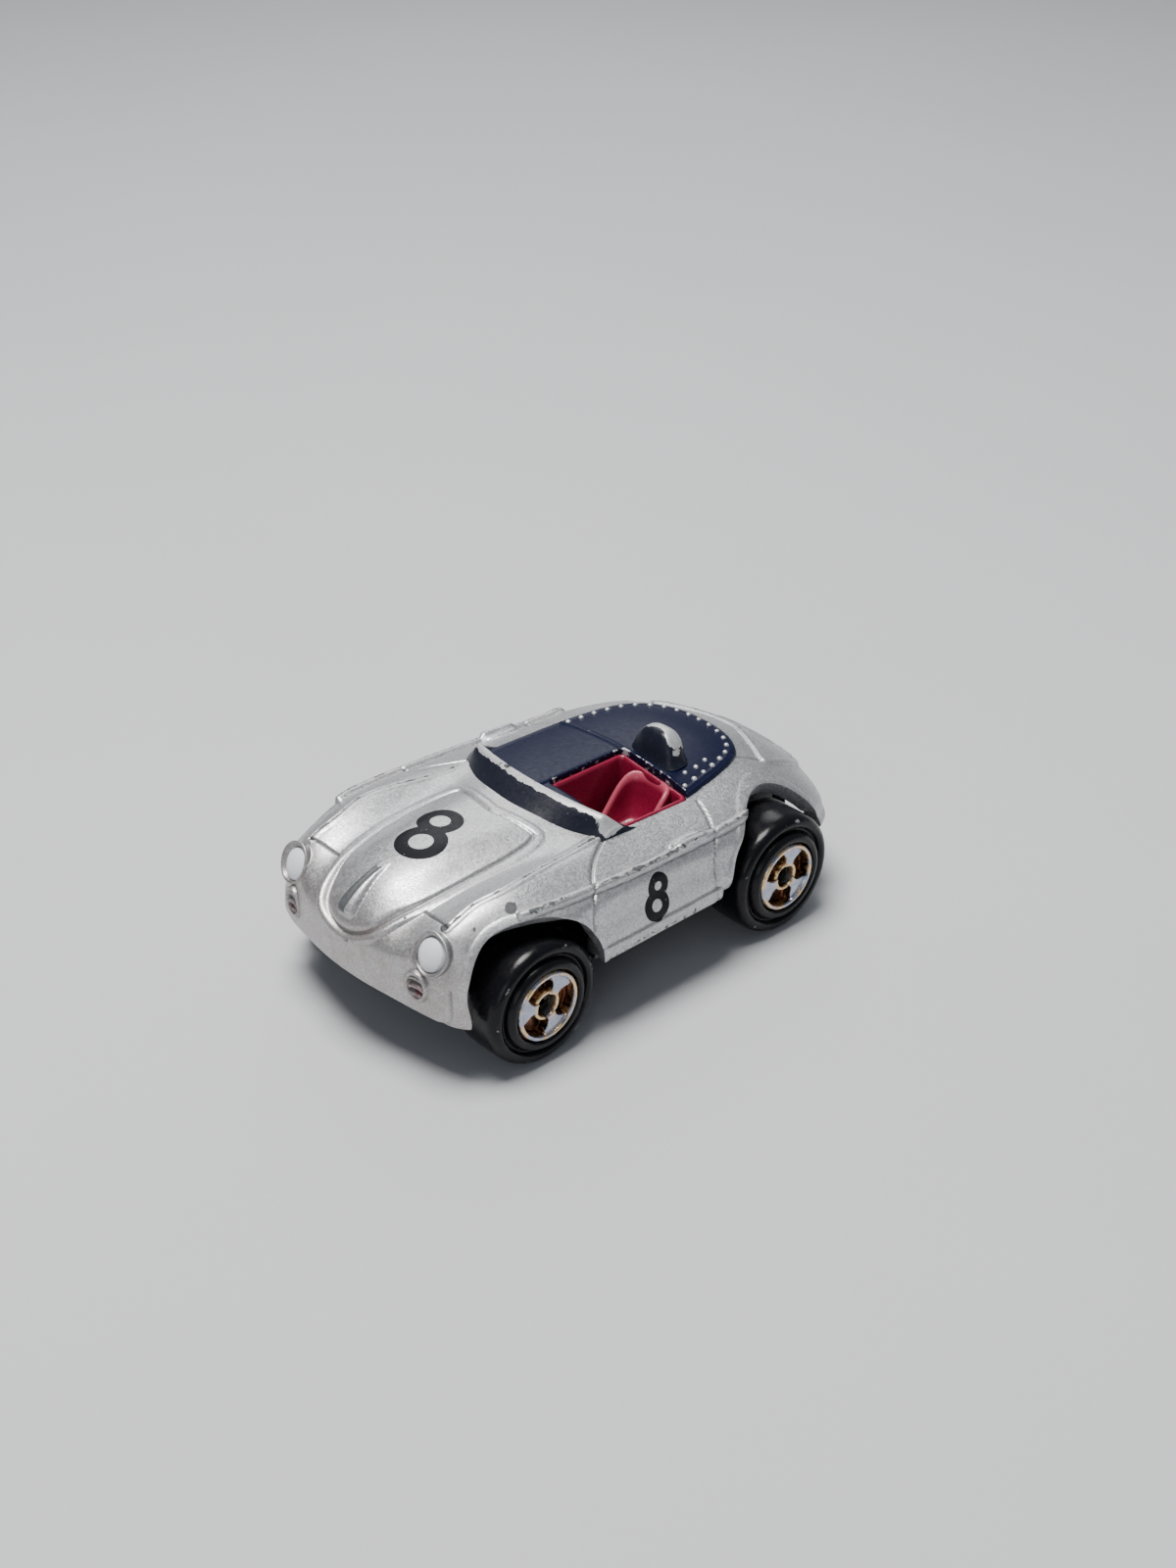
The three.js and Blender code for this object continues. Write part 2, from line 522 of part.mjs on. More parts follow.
function springGear() {
  const gapAngle = COMPOUND_TO_SPRING + Math.PI + Math.PI / WHEEL_TEETH;
  let drum = gear(WHEEL_TEETH, SPRING_X, SPRING_Z, gapAngle, BACK_PLANE, 0.8);
  drum = drum.add(cylinderY(DRUM_RADIUS, DRUM_BACK, BACK_PLANE[0] + 0.1, SPRING_X, SPRING_Z));
  drum = drum.subtract(cylinderY(DRUM_RADIUS - 0.2, DRUM_BACK - 1, BACK_PLANE[0], SPRING_X, SPRING_Z));
  return drum.subtract(cylinderY(ARBOR_RADIUS + RUNNING_CLEARANCE, -4, 4, SPRING_X, SPRING_Z));
}

// Flat steel strip coiled from the arbor out to the drum wall.
function mainspring() {
  const turns = 3.5;
  const strip = 0.09;
  const [inner, outer] = [ARBOR_RADIUS + 0.15, DRUM_RADIUS - 0.3];
  const steps = 84;
  const face = [[], []];
  for (let i = 0; i <= steps; i += 1) {
    const angle = (i / steps) * turns * Math.PI * 2;
    const radius = inner + ((outer - inner) * i) / steps;
    for (const side of [0, 1]) {
      const reach = radius + (side - 0.5) * strip;
      face[side].push([SPRING_X + reach * Math.cos(angle), SPRING_Z + reach * Math.sin(angle)]);
    }
  }
  return prismY([...face[0], ...face[1].reverse()], DRUM_BACK + 0.15, BACK_PLANE[0] - 0.1);
}

function arbor(x, z) {
  const end = CASE_HALF_WIDTH - 0.12;
  return cylinderY(ARBOR_RADIUS, -end, end, x, z, 20);
}

function insetOutline(outline, by) {
  const middle = [(CASE_FRONT + CASE_BACK) / 2, 5.6];
  const reach = [(CASE_FRONT - CASE_BACK) / 2, 3.3];
  return outline.map(([x, z]) => [
    middle[0] + (x - middle[0]) * (1 - by / reach[0]),
    middle[1] + (z - middle[1]) * (1 - by / reach[1]),
  ]);
}

function caseHalf(y0, y1, wallY) {
  const outer = insetOutline(CASE_OUTLINE, SEAT_GAP);
  const inner = insetOutline(CASE_OUTLINE, SEAT_GAP + CASE_WALL);
  let half = prismY(outer, y0, y1, inner);
  half = half.add(prismY(outer, ...wallY));
  half = half.subtract(cylinderY(AXLE_RADIUS + RUNNING_CLEARANCE, -5, 5, REAR_AXLE_X, AXLE_Z));
  for (const [x, z] of [[COMPOUND_X, COMPOUND_Z], [SPRING_X, SPRING_Z]]) {
    half = half.subtract(cylinderY(ARBOR_RADIUS + 0.02, -5, 5, x, z));
  }
  return half;
}

function motorCaseLeft() {
  const end = CASE_HALF_WIDTH - SEAT_GAP;
  return caseHalf(FIT_GAP, end, [end - CASE_WALL, end]);
}

function motorCaseRight() {
  const end = CASE_HALF_WIDTH - SEAT_GAP;
  return caseHalf(-end, 0, [-end, -end + CASE_WALL]);
}

// ---- Lamps ----
function headlightLens(side) {
  const lens = lampDisc(HEADLIGHT, LENS_RADIUS - FIT_GAP, LENS_RADIUS - FIT_GAP, FIT_GAP - 0.1, 0.34);
  return side < 0 ? mirrored(lens) : lens;
}

// ---- Assembly ----
const pullBackCar = new THREE.Group();
pullBackCar.name = 'pull_back_car';

function place(name, manifold, colour) {
  const geometry = geometryOf(manifold).translate(FRAME_SHIFT, 0, 0);
  const mesh = new THREE.Mesh(geometry, material(...COLOURS[colour]));
  mesh.name = name;
  pullBackCar.add(mesh);
}

place('body_shell', bodyShell(), 'silver_paint');
place('chassis_base', chassisBase(), 'black_plastic');
place('interior_insert', interiorInsert(), 'red_plastic');
place('headlight_left', headlightLens(1), 'white_plastic');
place('headlight_right', headlightLens(-1), 'white_plastic');
for (const [row, x] of [['front', FRONT_AXLE_X], ['rear', REAR_AXLE_X]]) {
  place(`${row}_axle`, axle(x), 'steel');
  place(`wheel_${row}_left`, wheel(x), 'black_plastic');
  place(`wheel_${row}_right`, mirrored(wheel(x)), 'black_plastic');
  place(`hub_insert_${row}_left`, hubInsert(x), 'plated_insert');
  place(`hub_insert_${row}_right`, mirrored(hubInsert(x)), 'plated_insert');
}
place('rivet_front', rivet(POSTS[0]), 'steel');
place('rivet_rear', rivet(POSTS[1]), 'steel');
place('motor_case_left', motorCaseLeft(), 'white_plastic');
place('motor_case_right', motorCaseRight(), 'white_plastic');
place('axle_pinion', axlePinion(), 'brass');
place('compound_gear', compoundGear(), 'white_plastic');
place('spring_gear', springGear(), 'white_plastic');
place('mainspring', mainspring(), 'steel');
place('compound_arbor', arbor(COMPOUND_X, COMPOUND_Z), 'steel');
place('spring_arbor', arbor(SPRING_X, SPRING_Z), 'steel');

export default pullBackCar;
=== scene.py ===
"""Looks of the pull back car: a micro-size die-cast roadster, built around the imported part.

Shapes are worked out in millimetres in the car's own axes (x forward, y left, z up, x = 0 halfway
between the axles) and stored in metres in the frame's axes.
"""
import math

import bpy
import numpy as np
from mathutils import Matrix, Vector


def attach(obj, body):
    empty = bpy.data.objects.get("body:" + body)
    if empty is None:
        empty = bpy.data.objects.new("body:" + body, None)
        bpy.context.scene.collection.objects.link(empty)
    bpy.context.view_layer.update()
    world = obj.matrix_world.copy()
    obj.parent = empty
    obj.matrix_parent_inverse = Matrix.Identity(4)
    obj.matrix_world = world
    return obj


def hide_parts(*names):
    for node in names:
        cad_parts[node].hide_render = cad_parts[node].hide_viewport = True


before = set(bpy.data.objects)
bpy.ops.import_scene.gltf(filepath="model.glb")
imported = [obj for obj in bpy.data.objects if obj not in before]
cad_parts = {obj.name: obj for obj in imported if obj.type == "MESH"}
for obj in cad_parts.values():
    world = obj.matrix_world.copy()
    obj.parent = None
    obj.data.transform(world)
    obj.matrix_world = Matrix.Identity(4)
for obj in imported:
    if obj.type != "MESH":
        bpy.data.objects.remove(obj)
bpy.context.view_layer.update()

MM = 0.001
FRAME_SHIFT = 0.4            # mm from mid-wheelbase to the middle of the overall length
FRONT_AXLE_X = 9.0
REAR_AXLE_X = -9.0
AXLE_Z = 3.65
WALL = 0.8                   # thickness of the casting
HALF_WIDTH = 9.15            # nothing on the body stands further out than this
COVER_RISE = 0.26            # tonneau cover above the deck
rng = np.random.default_rng(8)

# Outer skin, station by station from nose to tail, each from the top centre line to the bottom one.
NOSE_TIP = (15.6, 0, 6.0)
TAIL_TIP = (-16.4, 0, 5.35)
STATIONS = [
    [[15.3, 0, 7.3], [15.25, 1.6, 7.2], [15.1, 2.9, 7.0], [14.95, 3.9, 6.8], [14.85, 4.4, 6.3],
     [14.85, 4.5, 5.8], [14.9, 4.2, 5.2], [15.0, 3.6, 4.6], [15.3, 1.9, 4.4], [15.45, 0, 4.45]],
    [[14.2, 0, 8.6], [14.1, 1.8, 8.4], [13.9, 3.6, 7.95], [13.6, 5.6, 8.3], [13.45, 6.8, 7.5],
     [13.5, 7.35, 6.4], [13.6, 7.45, 5.1], [13.8, 7.2, 3.7], [14.2, 3.8, 4.2], [14.5, 0, 4.35]],
    [[12.2, 0, 9.65], [12.2, 2.0, 9.3], [12.2, 3.7, 8.65], [12.0, 5.6, 9.15], [11.8, 7.1, 8.45],
     [11.7, 8.1, 7.25], [11.7, 8.5, 5.9], [11.8, 8.4, 3.9], [12.0, 4.2, 4.3], [12.2, 0, 4.45]],
    [[9, 0, 10.05], [9, 2.0, 9.85], [9, 3.9, 9.15], [9, 5.8, 9.7], [9, 7.4, 9.05],
     [9, 8.6, 8.0], [9, 8.85, 6.4], [9, 8.55, 4.75], [9, 4.5, 4.6], [9, 0, 4.6]],
    [[5, 0, 9.9], [5, 2.1, 9.8], [5, 4.2, 9.35], [5, 5.9, 9.5], [5, 7.4, 9.0],
     [5, 8.6, 8.15], [5, 8.85, 6.6], [5, 8.6, 4.8], [5, 4.5, 4.6], [5, 0, 4.6]],
    [[1, 0, 9.85], [1, 2.1, 9.8], [1, 4.2, 9.55], [1, 5.8, 9.25], [1, 7.3, 8.75],
     [1, 8.5, 8.05], [1, 8.8, 6.7], [1, 8.6, 4.8], [1, 4.5, 4.6], [1, 0, 4.6]],
    [[-4.4, 0, 9.75], [-4.4, 2.1, 9.65], [-4.4, 4.2, 9.4], [-4.4, 5.8, 9.0], [-4.4, 7.2, 8.5],
     [-4.4, 8.4, 7.7], [-4.4, 8.8, 6.5], [-4.4, 8.6, 4.8], [-4.4, 4.5, 4.6], [-4.4, 0, 4.6]],
    [[-9, 0, 9.6], [-9, 2.1, 9.5], [-9, 4.0, 9.2], [-9, 5.7, 8.75], [-9, 7.2, 8.1],
     [-9, 8.4, 7.2], [-9, 8.7, 6.2], [-9, 8.45, 4.85], [-9, 4.5, 4.6], [-9, 0, 4.6]],
    [[-12.9, 0, 8.35], [-12.9, 2.0, 8.25], [-12.8, 3.8, 7.95], [-12.7, 5.4, 7.5], [-12.6, 6.8, 6.9],
     [-12.5, 7.7, 6.2], [-12.5, 7.9, 5.5], [-12.6, 7.7, 4.8], [-12.8, 4.2, 4.6], [-12.9, 0, 4.6]],
    [[-15.3, 0, 6.8], [-15.3, 1.9, 6.7], [-15.15, 3.5, 6.45], [-14.9, 4.9, 6.1], [-14.7, 5.8, 5.8],
     [-14.5, 6.4, 5.5], [-14.5, 6.5, 5.15], [-14.7, 6.2, 4.8], [-15.1, 3.2, 4.65], [-15.3, 0, 4.65]],
    [[-16.2, 0, 5.8], [-16.15, 1.2, 5.75], [-16.05, 2.2, 5.65], [-15.95, 3.0, 5.5], [-15.9, 3.4, 5.4],
     [-15.9, 3.5, 5.25], [-15.9, 3.4, 5.05], [-15.95, 3.0, 4.9], [-16.1, 1.5, 4.8], [-16.2, 0, 4.8]],
]


# ---- curves and surfaces ----
def spline(knots, t):
    """Natural cubic spline through the rows of knots, at t from 0 to the last row."""
    knots = np.asarray(knots, float)
    n = len(knots)
    lhs = np.eye(n)
    rhs = np.zeros_like(knots)
    for i in range(1, n - 1):
        lhs[i, i - 1:i + 2] = 1, 4, 1
        rhs[i] = 6 * (knots[i + 1] - 2 * knots[i] + knots[i - 1])
    bend = np.linalg.solve(lhs, rhs.reshape(n, -1)).reshape(knots.shape)
    i = np.clip(np.floor(t).astype(int), 0, n - 2)
    s = np.asarray(t - i).reshape(np.shape(t) + (1,) * (knots.ndim - 1))
    r = 1 - s
    return r * knots[i] + s * knots[i + 1] + ((r ** 3 - r) * bend[i] + (s ** 3 - s) * bend[i + 1]) / 6


def whole_ring(half):
    half = np.array(half, float)
    return np.concatenate([half[:0:-1] * [1, -1, 1], half])


RINGS = np.array([whole_ring(half) for half in
                  [[NOSE_TIP] * 10, *STATIONS, [TAIL_TIP] * 10]])
TOP = 9                      # ring index of the top centre line


def skin(stations, rounds):
    """Grid of points on the skin. rounds counts from the top centre line, positive to the left."""
    along = spline(RINGS, np.asarray(stations, float))
    return np.swapaxes(spline(np.swapaxes(along, 0, 1), np.asarray(rounds, float) + TOP), 0, 1)


def on_skin(route, count=60):
    """Points along a smooth route on the left of the skin, given as (station, round) pairs."""
    route = np.array(route, float)
    t = np.linspace(0, len(route) - 1, count)
    path = spline(route, t) if len(route) > 2 else route[0] + (route[1] - route[0]) * t[:, None]
    return np.array([skin([a], [b])[0, 0] for a, b in path]), path


def smooth(x, low, high):
    s = np.clip((x - low) / (high - low), 0, 1)
    return s * s * (3 - 2 * s)


def ridge(distance, radius, height):
    """A rounded bead of the given half-width."""
    return height * np.sqrt(np.clip(1 - (distance / radius) ** 2, 0, 1))


def bell(distance, width):
    return np.exp(-(distance / width) ** 2)


def groove(distance, width, depth):
    return -depth * bell(distance, width)


def distance_to(points, path):
    """Distance from each point to a polyline; far points get a large value."""
    flat = points.reshape(-1, points.shape[-1])
    out = np.full(len(flat), 9.0)
    low, high = path.min(0) - 1.2, path.max(0) + 1.2
    near = np.where(((flat > low) & (flat < high)).all(1))[0]
    best = np.full(len(near), 81.0)
    for a, b in zip(path[:-1], path[1:]):
        edge = b - a
        reach = np.clip((flat[near] - a) @ edge / max(edge @ edge, 1e-12), 0, 1)
        gap = flat[near] - a - reach[:, None] * edge
        best = np.minimum(best, (gap ** 2).sum(1))
    out[near] = np.sqrt(best)
    return out.reshape(points.shape[:-1])


def inside(u, v, outline):
    """True where (u, v) is inside the closed outline."""
    result = np.zeros(u.shape, bool)
    for (ua, va), (ub, vb) in zip(outline, np.roll(outline, -1, axis=0)):
        if va == vb:
            continue
        crosses = (va > v) != (vb > v)
        result ^= crosses & (u < (ub - ua) * (v - va) / (vb - va) + ua)
    return result


def rounded(points, rounds=3, closed=False):
    """Corners cut again and again, so that a coarse outline becomes a smooth one."""
    points = np.array(points, float)
    for _ in range(rounds):
        ahead = np.roll(points, -1, axis=0)
        cut = np.stack([points * 0.75 + ahead * 0.25, points * 0.25 + ahead * 0.75], 1)
        if closed:
            points = cut.reshape(-1, points.shape[1])
        else:
            points = np.concatenate([points[:1], cut[:-1].reshape(-1, points.shape[1]), points[-1:]])
    return points


# ---- meshes ----
def make(name, points, faces, body, material, attributes=None):
    """A piece from points in millimetres, riding on a CAD body."""
    mesh = bpy.data.meshes.new(name)
    points = (np.asarray(points, float) + [FRAME_SHIFT, 0, 0]) * MM
    mesh.from_pydata(points.tolist(), [], [list(map(int, face)) for face in faces])
    for key, values in (attributes or {}).items():
        layer = mesh.attributes.new(key, "FLOAT", "POINT")
        layer.data.foreach_set("value", np.asarray(values, np.float32).ravel())
    mesh.polygons.foreach_set("use_smooth", [True] * len(mesh.polygons))
    mesh.materials.append(material)
    mesh.validate()
    piece = bpy.data.objects.new(name, mesh)
    bpy.context.scene.collection.objects.link(piece)
    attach(piece, body)
    return piece


def grid_faces(rows, columns, wrap=False):
    i, j = np.meshgrid(np.arange(rows - 1), np.arange(columns if wrap else columns - 1), indexing="ij")
    k = (j + 1) % columns
    quads = np.stack([i * columns + j, i * columns + k, (i + 1) * columns + k, (i + 1) * columns + j], -1)
    return quads.reshape(-1, 4)


def loft(name, rings, body, material, attributes=None):
    """Closed rings of equal length, skinned one after another and capped."""
    rings = np.asarray(rings, float)
    rows, columns = rings.shape[:2]
    faces = grid_faces(rows, columns, wrap=True).tolist()
    faces.append(list(range(columns))[::-1])
    faces.append([(rows - 1) * columns + k for k in range(columns)])
    return make(name, rings.reshape(-1, 3), faces, body, material, attributes)


def turn(count):
    """Cosine and sine of each of count equal steps round a full turn."""
    return [(math.cos(2 * math.pi * k / count), math.sin(2 * math.pi * k / count)) for k in range(count)]


def lathe(name, profile, steps, axle_x, side, body, material, attributes):
    """A closed profile of (radius, y) turned about a wheel axis; side is 1 for left, -1 for right."""
    points = [(axle_x + radius * c, side * y, AXLE_Z + radius * s) for radius, y in profile
              for c, s in turn(steps)]
    faces = grid_faces(len(profile) + 1, steps, wrap=True) % len(points)
    return make(name, points, faces[:, ::-side], body, material, attributes)


# ---- materials ----
class Graph:
    """A material's node graph, built a node at a time."""

    def __init__(self, name):
        self.material = bpy.data.materials.new(name)
        self.material.use_nodes = True
        self.tree = self.material.node_tree
        self.shader = self.tree.nodes["Principled BSDF"]
        self.place = self.node("ShaderNodeTexCoord", (), "Object")

    def node(self, kind, inputs=(), output=0, **settings):
        """Add a node, feed its inputs in order or by name, and return one output, or all for None."""
        node = self.tree.nodes.new(kind)
        for key, value in settings.items():
            setattr(node, key, value)
        for key, value in inputs.items() if isinstance(inputs, dict) else enumerate(inputs):
            self.feed(node.inputs[key], value)
        return node.outputs if output is None else node.outputs[output]

    def feed(self, socket, value):
        if isinstance(value, bpy.types.NodeSocket):
            self.tree.links.new(value, socket)
        else:
            socket.default_value = value

    def math(self, operation, a, b=0.0, c=0.0, clamp=False):
        return self.node("ShaderNodeMath", (a, b, c), operation=operation, use_clamp=clamp)

    def times(self, a, b):
        return self.math("MULTIPLY", a, b)

    def noise(self, per_mm, detail=4.0, roughness=0.6, distortion=0.0):
        return self.node("ShaderNodeTexNoise", {"Vector": self.place, "Scale": per_mm / MM, "Detail": detail,
                                                "Roughness": roughness, "Distortion": distortion}, "Fac")

    def range(self, value, low, high, start, end, kind="LINEAR"):
        return self.node("ShaderNodeMapRange", (value, low, high, start, end), interpolation_type=kind)

    def step(self, value, low, high):
        return self.range(value, low, high, 0.0, 1.0, "SMOOTHSTEP")

    def mix(self, factor, a, b):
        a, b = [item if isinstance(item, bpy.types.NodeSocket) else (*item, 1) for item in (a, b)]
        return self.node("ShaderNodeMix", {"Factor": factor, "A": a, "B": b}, "Result", data_type="RGBA")

    def blend(self, factor, a, b):
        return self.node("ShaderNodeMix", {"Factor": factor, "A": a, "B": b}, "Result")

    def attribute(self, name):
        return self.node("ShaderNodeAttribute", (), "Fac", attribute_name=name)

    def bump(self, height, distance_mm, strength=1.0, normal=None):
        inputs = {"Distance": distance_mm * MM, "Strength": strength, "Height": height}
        if normal is not None:
            inputs["Normal"] = normal
        return self.node("ShaderNodeBump", inputs, "Normal")

    def set(self, **values):
        for key, value in values.items():
            if isinstance(value, tuple):
                value = (*value, 1)
            self.feed(self.shader.inputs[key.replace("_", " ")], value)
        return self.material


def chip_mask(graph, wear, per_mm=1.6, edge=0.05):
    """Irregular chips where wear is high: 1 where paint is gone."""
    rough = graph.math("ADD", graph.noise(per_mm, 6, 0.65, 0.4), graph.times(wear, 0.45))
    return graph.step(rough, 0.78, 0.78 + edge)


def paint_material():
    """Fine-flake silver over a grey casting, black cover and numerals, chips, and painted shade on the low
    nose, in the creases and towards the bottom.
    """
    g = Graph("silver_paint")
    flake = g.node("ShaderNodeTexVoronoi", {"Vector": g.place, "Scale": 13 / MM}, "Color")
    spark = g.node("ShaderNodeSeparateColor", [flake], None)
    cloud = g.noise(0.25, 3)
    silver = g.mix(g.range(spark[0], 0, 1, 0, 1), (0.36, 0.37, 0.39), (0.66, 0.67, 0.69))
    silver = g.mix(g.range(cloud, 0.3, 0.7, 0, 0.35), silver, (0.56, 0.545, 0.53))
    # painted shade: a warm darkening, broken up by noise, on the low nose and in the creases, and darker
    # towards the bottom
    painted_shade = g.times(g.attribute("painted_shade"), g.range(g.noise(0.9, 5), 0.25, 0.7, 0.2, 1.0))
    silver = g.mix(g.times(painted_shade, 0.62), silver, (0.33, 0.26, 0.22))
    black = g.mix(g.noise(3, 4), (0.002, 0.003, 0.016), (0.005, 0.008, 0.030))
    print_gap = g.step(g.noise(7, 3), 0.68, 0.74)
    darkness = g.step(g.attribute("numeral"), 0.03, -0.01)
    numeral = g.math("SUBTRACT", darkness, g.times(print_gap, 0.8), clamp=True)
    wobble = g.math("MULTIPLY_ADD", g.noise(3.5, 4), 0.1, g.attribute("cover"))
    cover = g.step(wobble, 0.07, 0.03)
    dark = g.math("MAXIMUM", cover, numeral)
    colour = g.mix(numeral, silver, (0.004, 0.004, 0.007))
    colour = g.mix(cover, colour, black)
    signal = g.times(g.attribute("signal"), g.step(g.noise(2.3, 4), 0.42, 0.58))
    colour = g.mix(signal, colour, (0.26, 0.012, 0.04))
    worn = chip_mask(g, g.attribute("wear"))
    bare = g.mix(g.noise(5, 4), (0.045, 0.05, 0.055), (0.15, 0.16, 0.165))
    bare_light = g.mix(g.noise(4, 4), (0.4, 0.42, 0.44), (0.68, 0.7, 0.72))
    bare = g.mix(cover, bare, bare_light)
    colour = g.mix(worn, colour, bare)
    # painted shade: near black in the grooves, seams, louvres and lamp rims and along the edges of the
    # mouldings
    crease_shade = g.times(g.attribute("crease_shade"), 0.75)
    colour = g.mix(crease_shade, colour, (0.05, 0.05, 0.055))
    roughness = g.range(spark[1], 0, 1, 0.3, 0.52)
    roughness = g.blend(dark, roughness, g.range(g.noise(4, 4), 0.3, 0.7, 0.3, 0.46))
    roughness = g.blend(worn, roughness, 0.5)
    metal = g.blend(dark, 0.85, 0.0)
    metal = g.blend(worn, metal, 0.4)
    grain = g.bump(g.times(spark[2], g.math("SUBTRACT", 1.0, dark)), 0.008, 0.5)
    peel = g.bump(g.noise(1.8, 3), 0.03, 0.35, grain)
    normal = g.bump(g.math("SUBTRACT", 1.0, worn), 0.035, 0.9, peel)
    return g.set(Base_Color=colour, Roughness=roughness, Metallic=metal, Normal=normal,
                 Specular_IOR_Level=g.blend(dark, 0.35, 0.16))


def trim_material():
    """Black enamel over the same casting, chipped to bright metal where it is touched."""
    g = Graph("black_enamel")
    black = g.mix(g.noise(3, 4), (0.003, 0.004, 0.010), (0.010, 0.012, 0.022))
    worn = chip_mask(g, g.attribute("wear"), 1.3)
    bare = g.mix(g.noise(3, 5), (0.3, 0.31, 0.32), (0.7, 0.71, 0.72))
    dust = g.step(g.noise(9, 4), 0.66, 0.74)
    black = g.mix(g.times(dust, 0.35), black, (0.3, 0.3, 0.32))
    colour = g.mix(worn, black, bare)
    roughness = g.blend(worn, g.range(g.noise(5, 4), 0.3, 0.7, 0.26, 0.42), 0.46)
    peel = g.bump(g.noise(2.2, 3), 0.03, 0.35)
    normal = g.bump(g.math("SUBTRACT", 1.0, worn), 0.04, 0.9, peel)
    return g.set(Base_Color=colour, Roughness=roughness, Metallic=g.times(worn, 0.6),
                 Normal=normal, Specular_IOR_Level=0.28)


def stud_material():
    g = Graph("stud_silver")
    colour = g.mix(g.noise(5, 4), (0.45, 0.46, 0.48), (0.8, 0.81, 0.83))
    return g.set(Base_Color=colour, Metallic=0.7, Roughness=g.range(g.noise(6, 3), 0.3, 0.7, 0.25, 0.5),
                 Normal=g.bump(g.noise(8, 3), 0.02, 0.4))


def wheel_material():
    """Hard glossy black plastic with handling scuffs on the shoulder."""
    g = Graph("wheel_black")
    black = g.mix(g.noise(1.2, 5), (0.002, 0.002, 0.003), (0.006, 0.006, 0.008))
    dust = g.times(g.step(g.noise(6, 5), 0.6, 0.78), 0.03)
    colour = g.mix(dust, black, (0.16, 0.155, 0.15))
    rubbed = g.math("MULTIPLY_ADD", g.attribute("wear"), 0.24, g.noise(0.55, 6, 0.62, 0.6))
    scuff = g.step(rubbed, 0.80, 0.84)
    colour = g.mix(g.times(scuff, 0.8), colour, (0.26, 0.26, 0.27))
    roughness = g.blend(scuff, g.range(g.noise(2.5, 5), 0.3, 0.7, 0.16, 0.3), 0.6)
    normal = g.bump(g.noise(7, 4), 0.02, 0.25, g.bump(g.noise(0.9, 3), 0.05, 0.3))
    return g.set(Base_Color=colour, Roughness=roughness, Normal=normal, Specular_IOR_Level=0.22)


def insert_material():
    """Plated spokes with the plating worn to copper and brass in the pockets and on the edges; the silver
    carries a painted blue reflection and the sunk centre is painted near black as shade.
    """
    g = Graph("plated_insert")
    height = g.attribute("height")
    patch = g.noise(1.3, 5, 0.6, 0.5)
    # painted reflection: the plated silver is tinted blue
    silver = g.mix(g.noise(2.2, 5), (0.2, 0.22, 0.3), (0.6, 0.63, 0.72))
    copper = g.mix(g.step(patch, 0.4, 0.7), (0.035, 0.014, 0.010), (0.30, 0.12, 0.06))
    gold = g.mix(patch, (0.6, 0.34, 0.1), (0.85, 0.7, 0.48))
    edge = g.times(g.step(height, 0.25, 0.6), g.step(height, 0.97, 0.7))
    face = g.step(g.math("MULTIPLY_ADD", patch, 0.35, height), 0.98, 1.12)
    colour = g.mix(face, copper, silver)
    colour = g.mix(g.times(edge, g.step(patch, 0.4, 0.55)), colour, gold)
    colour = g.mix(g.times(g.attribute("rim"), g.step(patch, 0.42, 0.56)), colour, gold)
    colour = g.mix(g.times(g.attribute("collar"), g.step(patch, 0.34, 0.48)), colour, gold)
    # painted shade: the sunk centre is painted near black
    colour = g.mix(g.attribute("hole_shade"), colour, (0.01, 0.008, 0.007))
    roughness = g.range(g.noise(3, 5), 0.3, 0.7, 0.12, 0.38)
    metal = g.blend(g.attribute("hole_shade"), 0.95, 0.2)
    return g.set(Base_Color=colour, Metallic=metal, Roughness=roughness,
                 Normal=g.bump(g.noise(2.4, 4), 0.06, 0.5))


def red_material():
    g = Graph("red_plastic")
    colour = g.mix(g.noise(0.7, 4), (0.15, 0.004, 0.021), (0.27, 0.010, 0.044))
    speck = g.step(g.noise(9, 4), 0.66, 0.74)
    colour = g.mix(g.times(speck, 0.25), colour, (0.6, 0.3, 0.3))
    # painted highlight: the seat's rim is painted a lighter red
    colour = g.mix(g.times(g.attribute("rim"), 0.55), colour, (0.58, 0.12, 0.17))
    return g.set(Base_Color=colour, Roughness=g.range(g.noise(2.5, 4), 0.3, 0.7, 0.2, 0.38),
                 Subsurface_Weight=0.12, Subsurface_Radius=Vector((0.001, 0.0003, 0.0003)),
                 Normal=g.bump(g.noise(3.5, 4), 0.025, 0.4))


def lens_material():
    g = Graph("lamp_white")
    colour = g.mix(g.noise(1.1, 4), (0.66, 0.68, 0.72), (0.82, 0.83, 0.86))
    stain = g.step(g.noise(0.8, 5), 0.58, 0.75)
    colour = g.mix(g.times(stain, 0.3), colour, (0.5, 0.45, 0.42))
    return g.set(Base_Color=colour, Roughness=g.range(g.noise(3, 4), 0.3, 0.7, 0.28, 0.45),
                 Normal=g.bump(g.noise(3, 3), 0.02, 0.35))


def plastic_material(name, dark, light, rough_low, rough_high):
    """Moulded plastic of the base and the motor, with a fine spark-eroded texture."""
    g = Graph(name)
    colour = g.mix(g.noise(0.8, 5), dark, light)
    dust = g.times(g.step(g.noise(4, 5), 0.5, 0.75), 0.12)
    colour = g.mix(dust, colour, (0.3, 0.29, 0.28))
    return g.set(Base_Color=colour, Roughness=g.range(g.noise(2.2, 5), 0.3, 0.7, rough_low, rough_high),
                 Normal=g.bump(g.noise(11, 3), 0.015, 0.6))


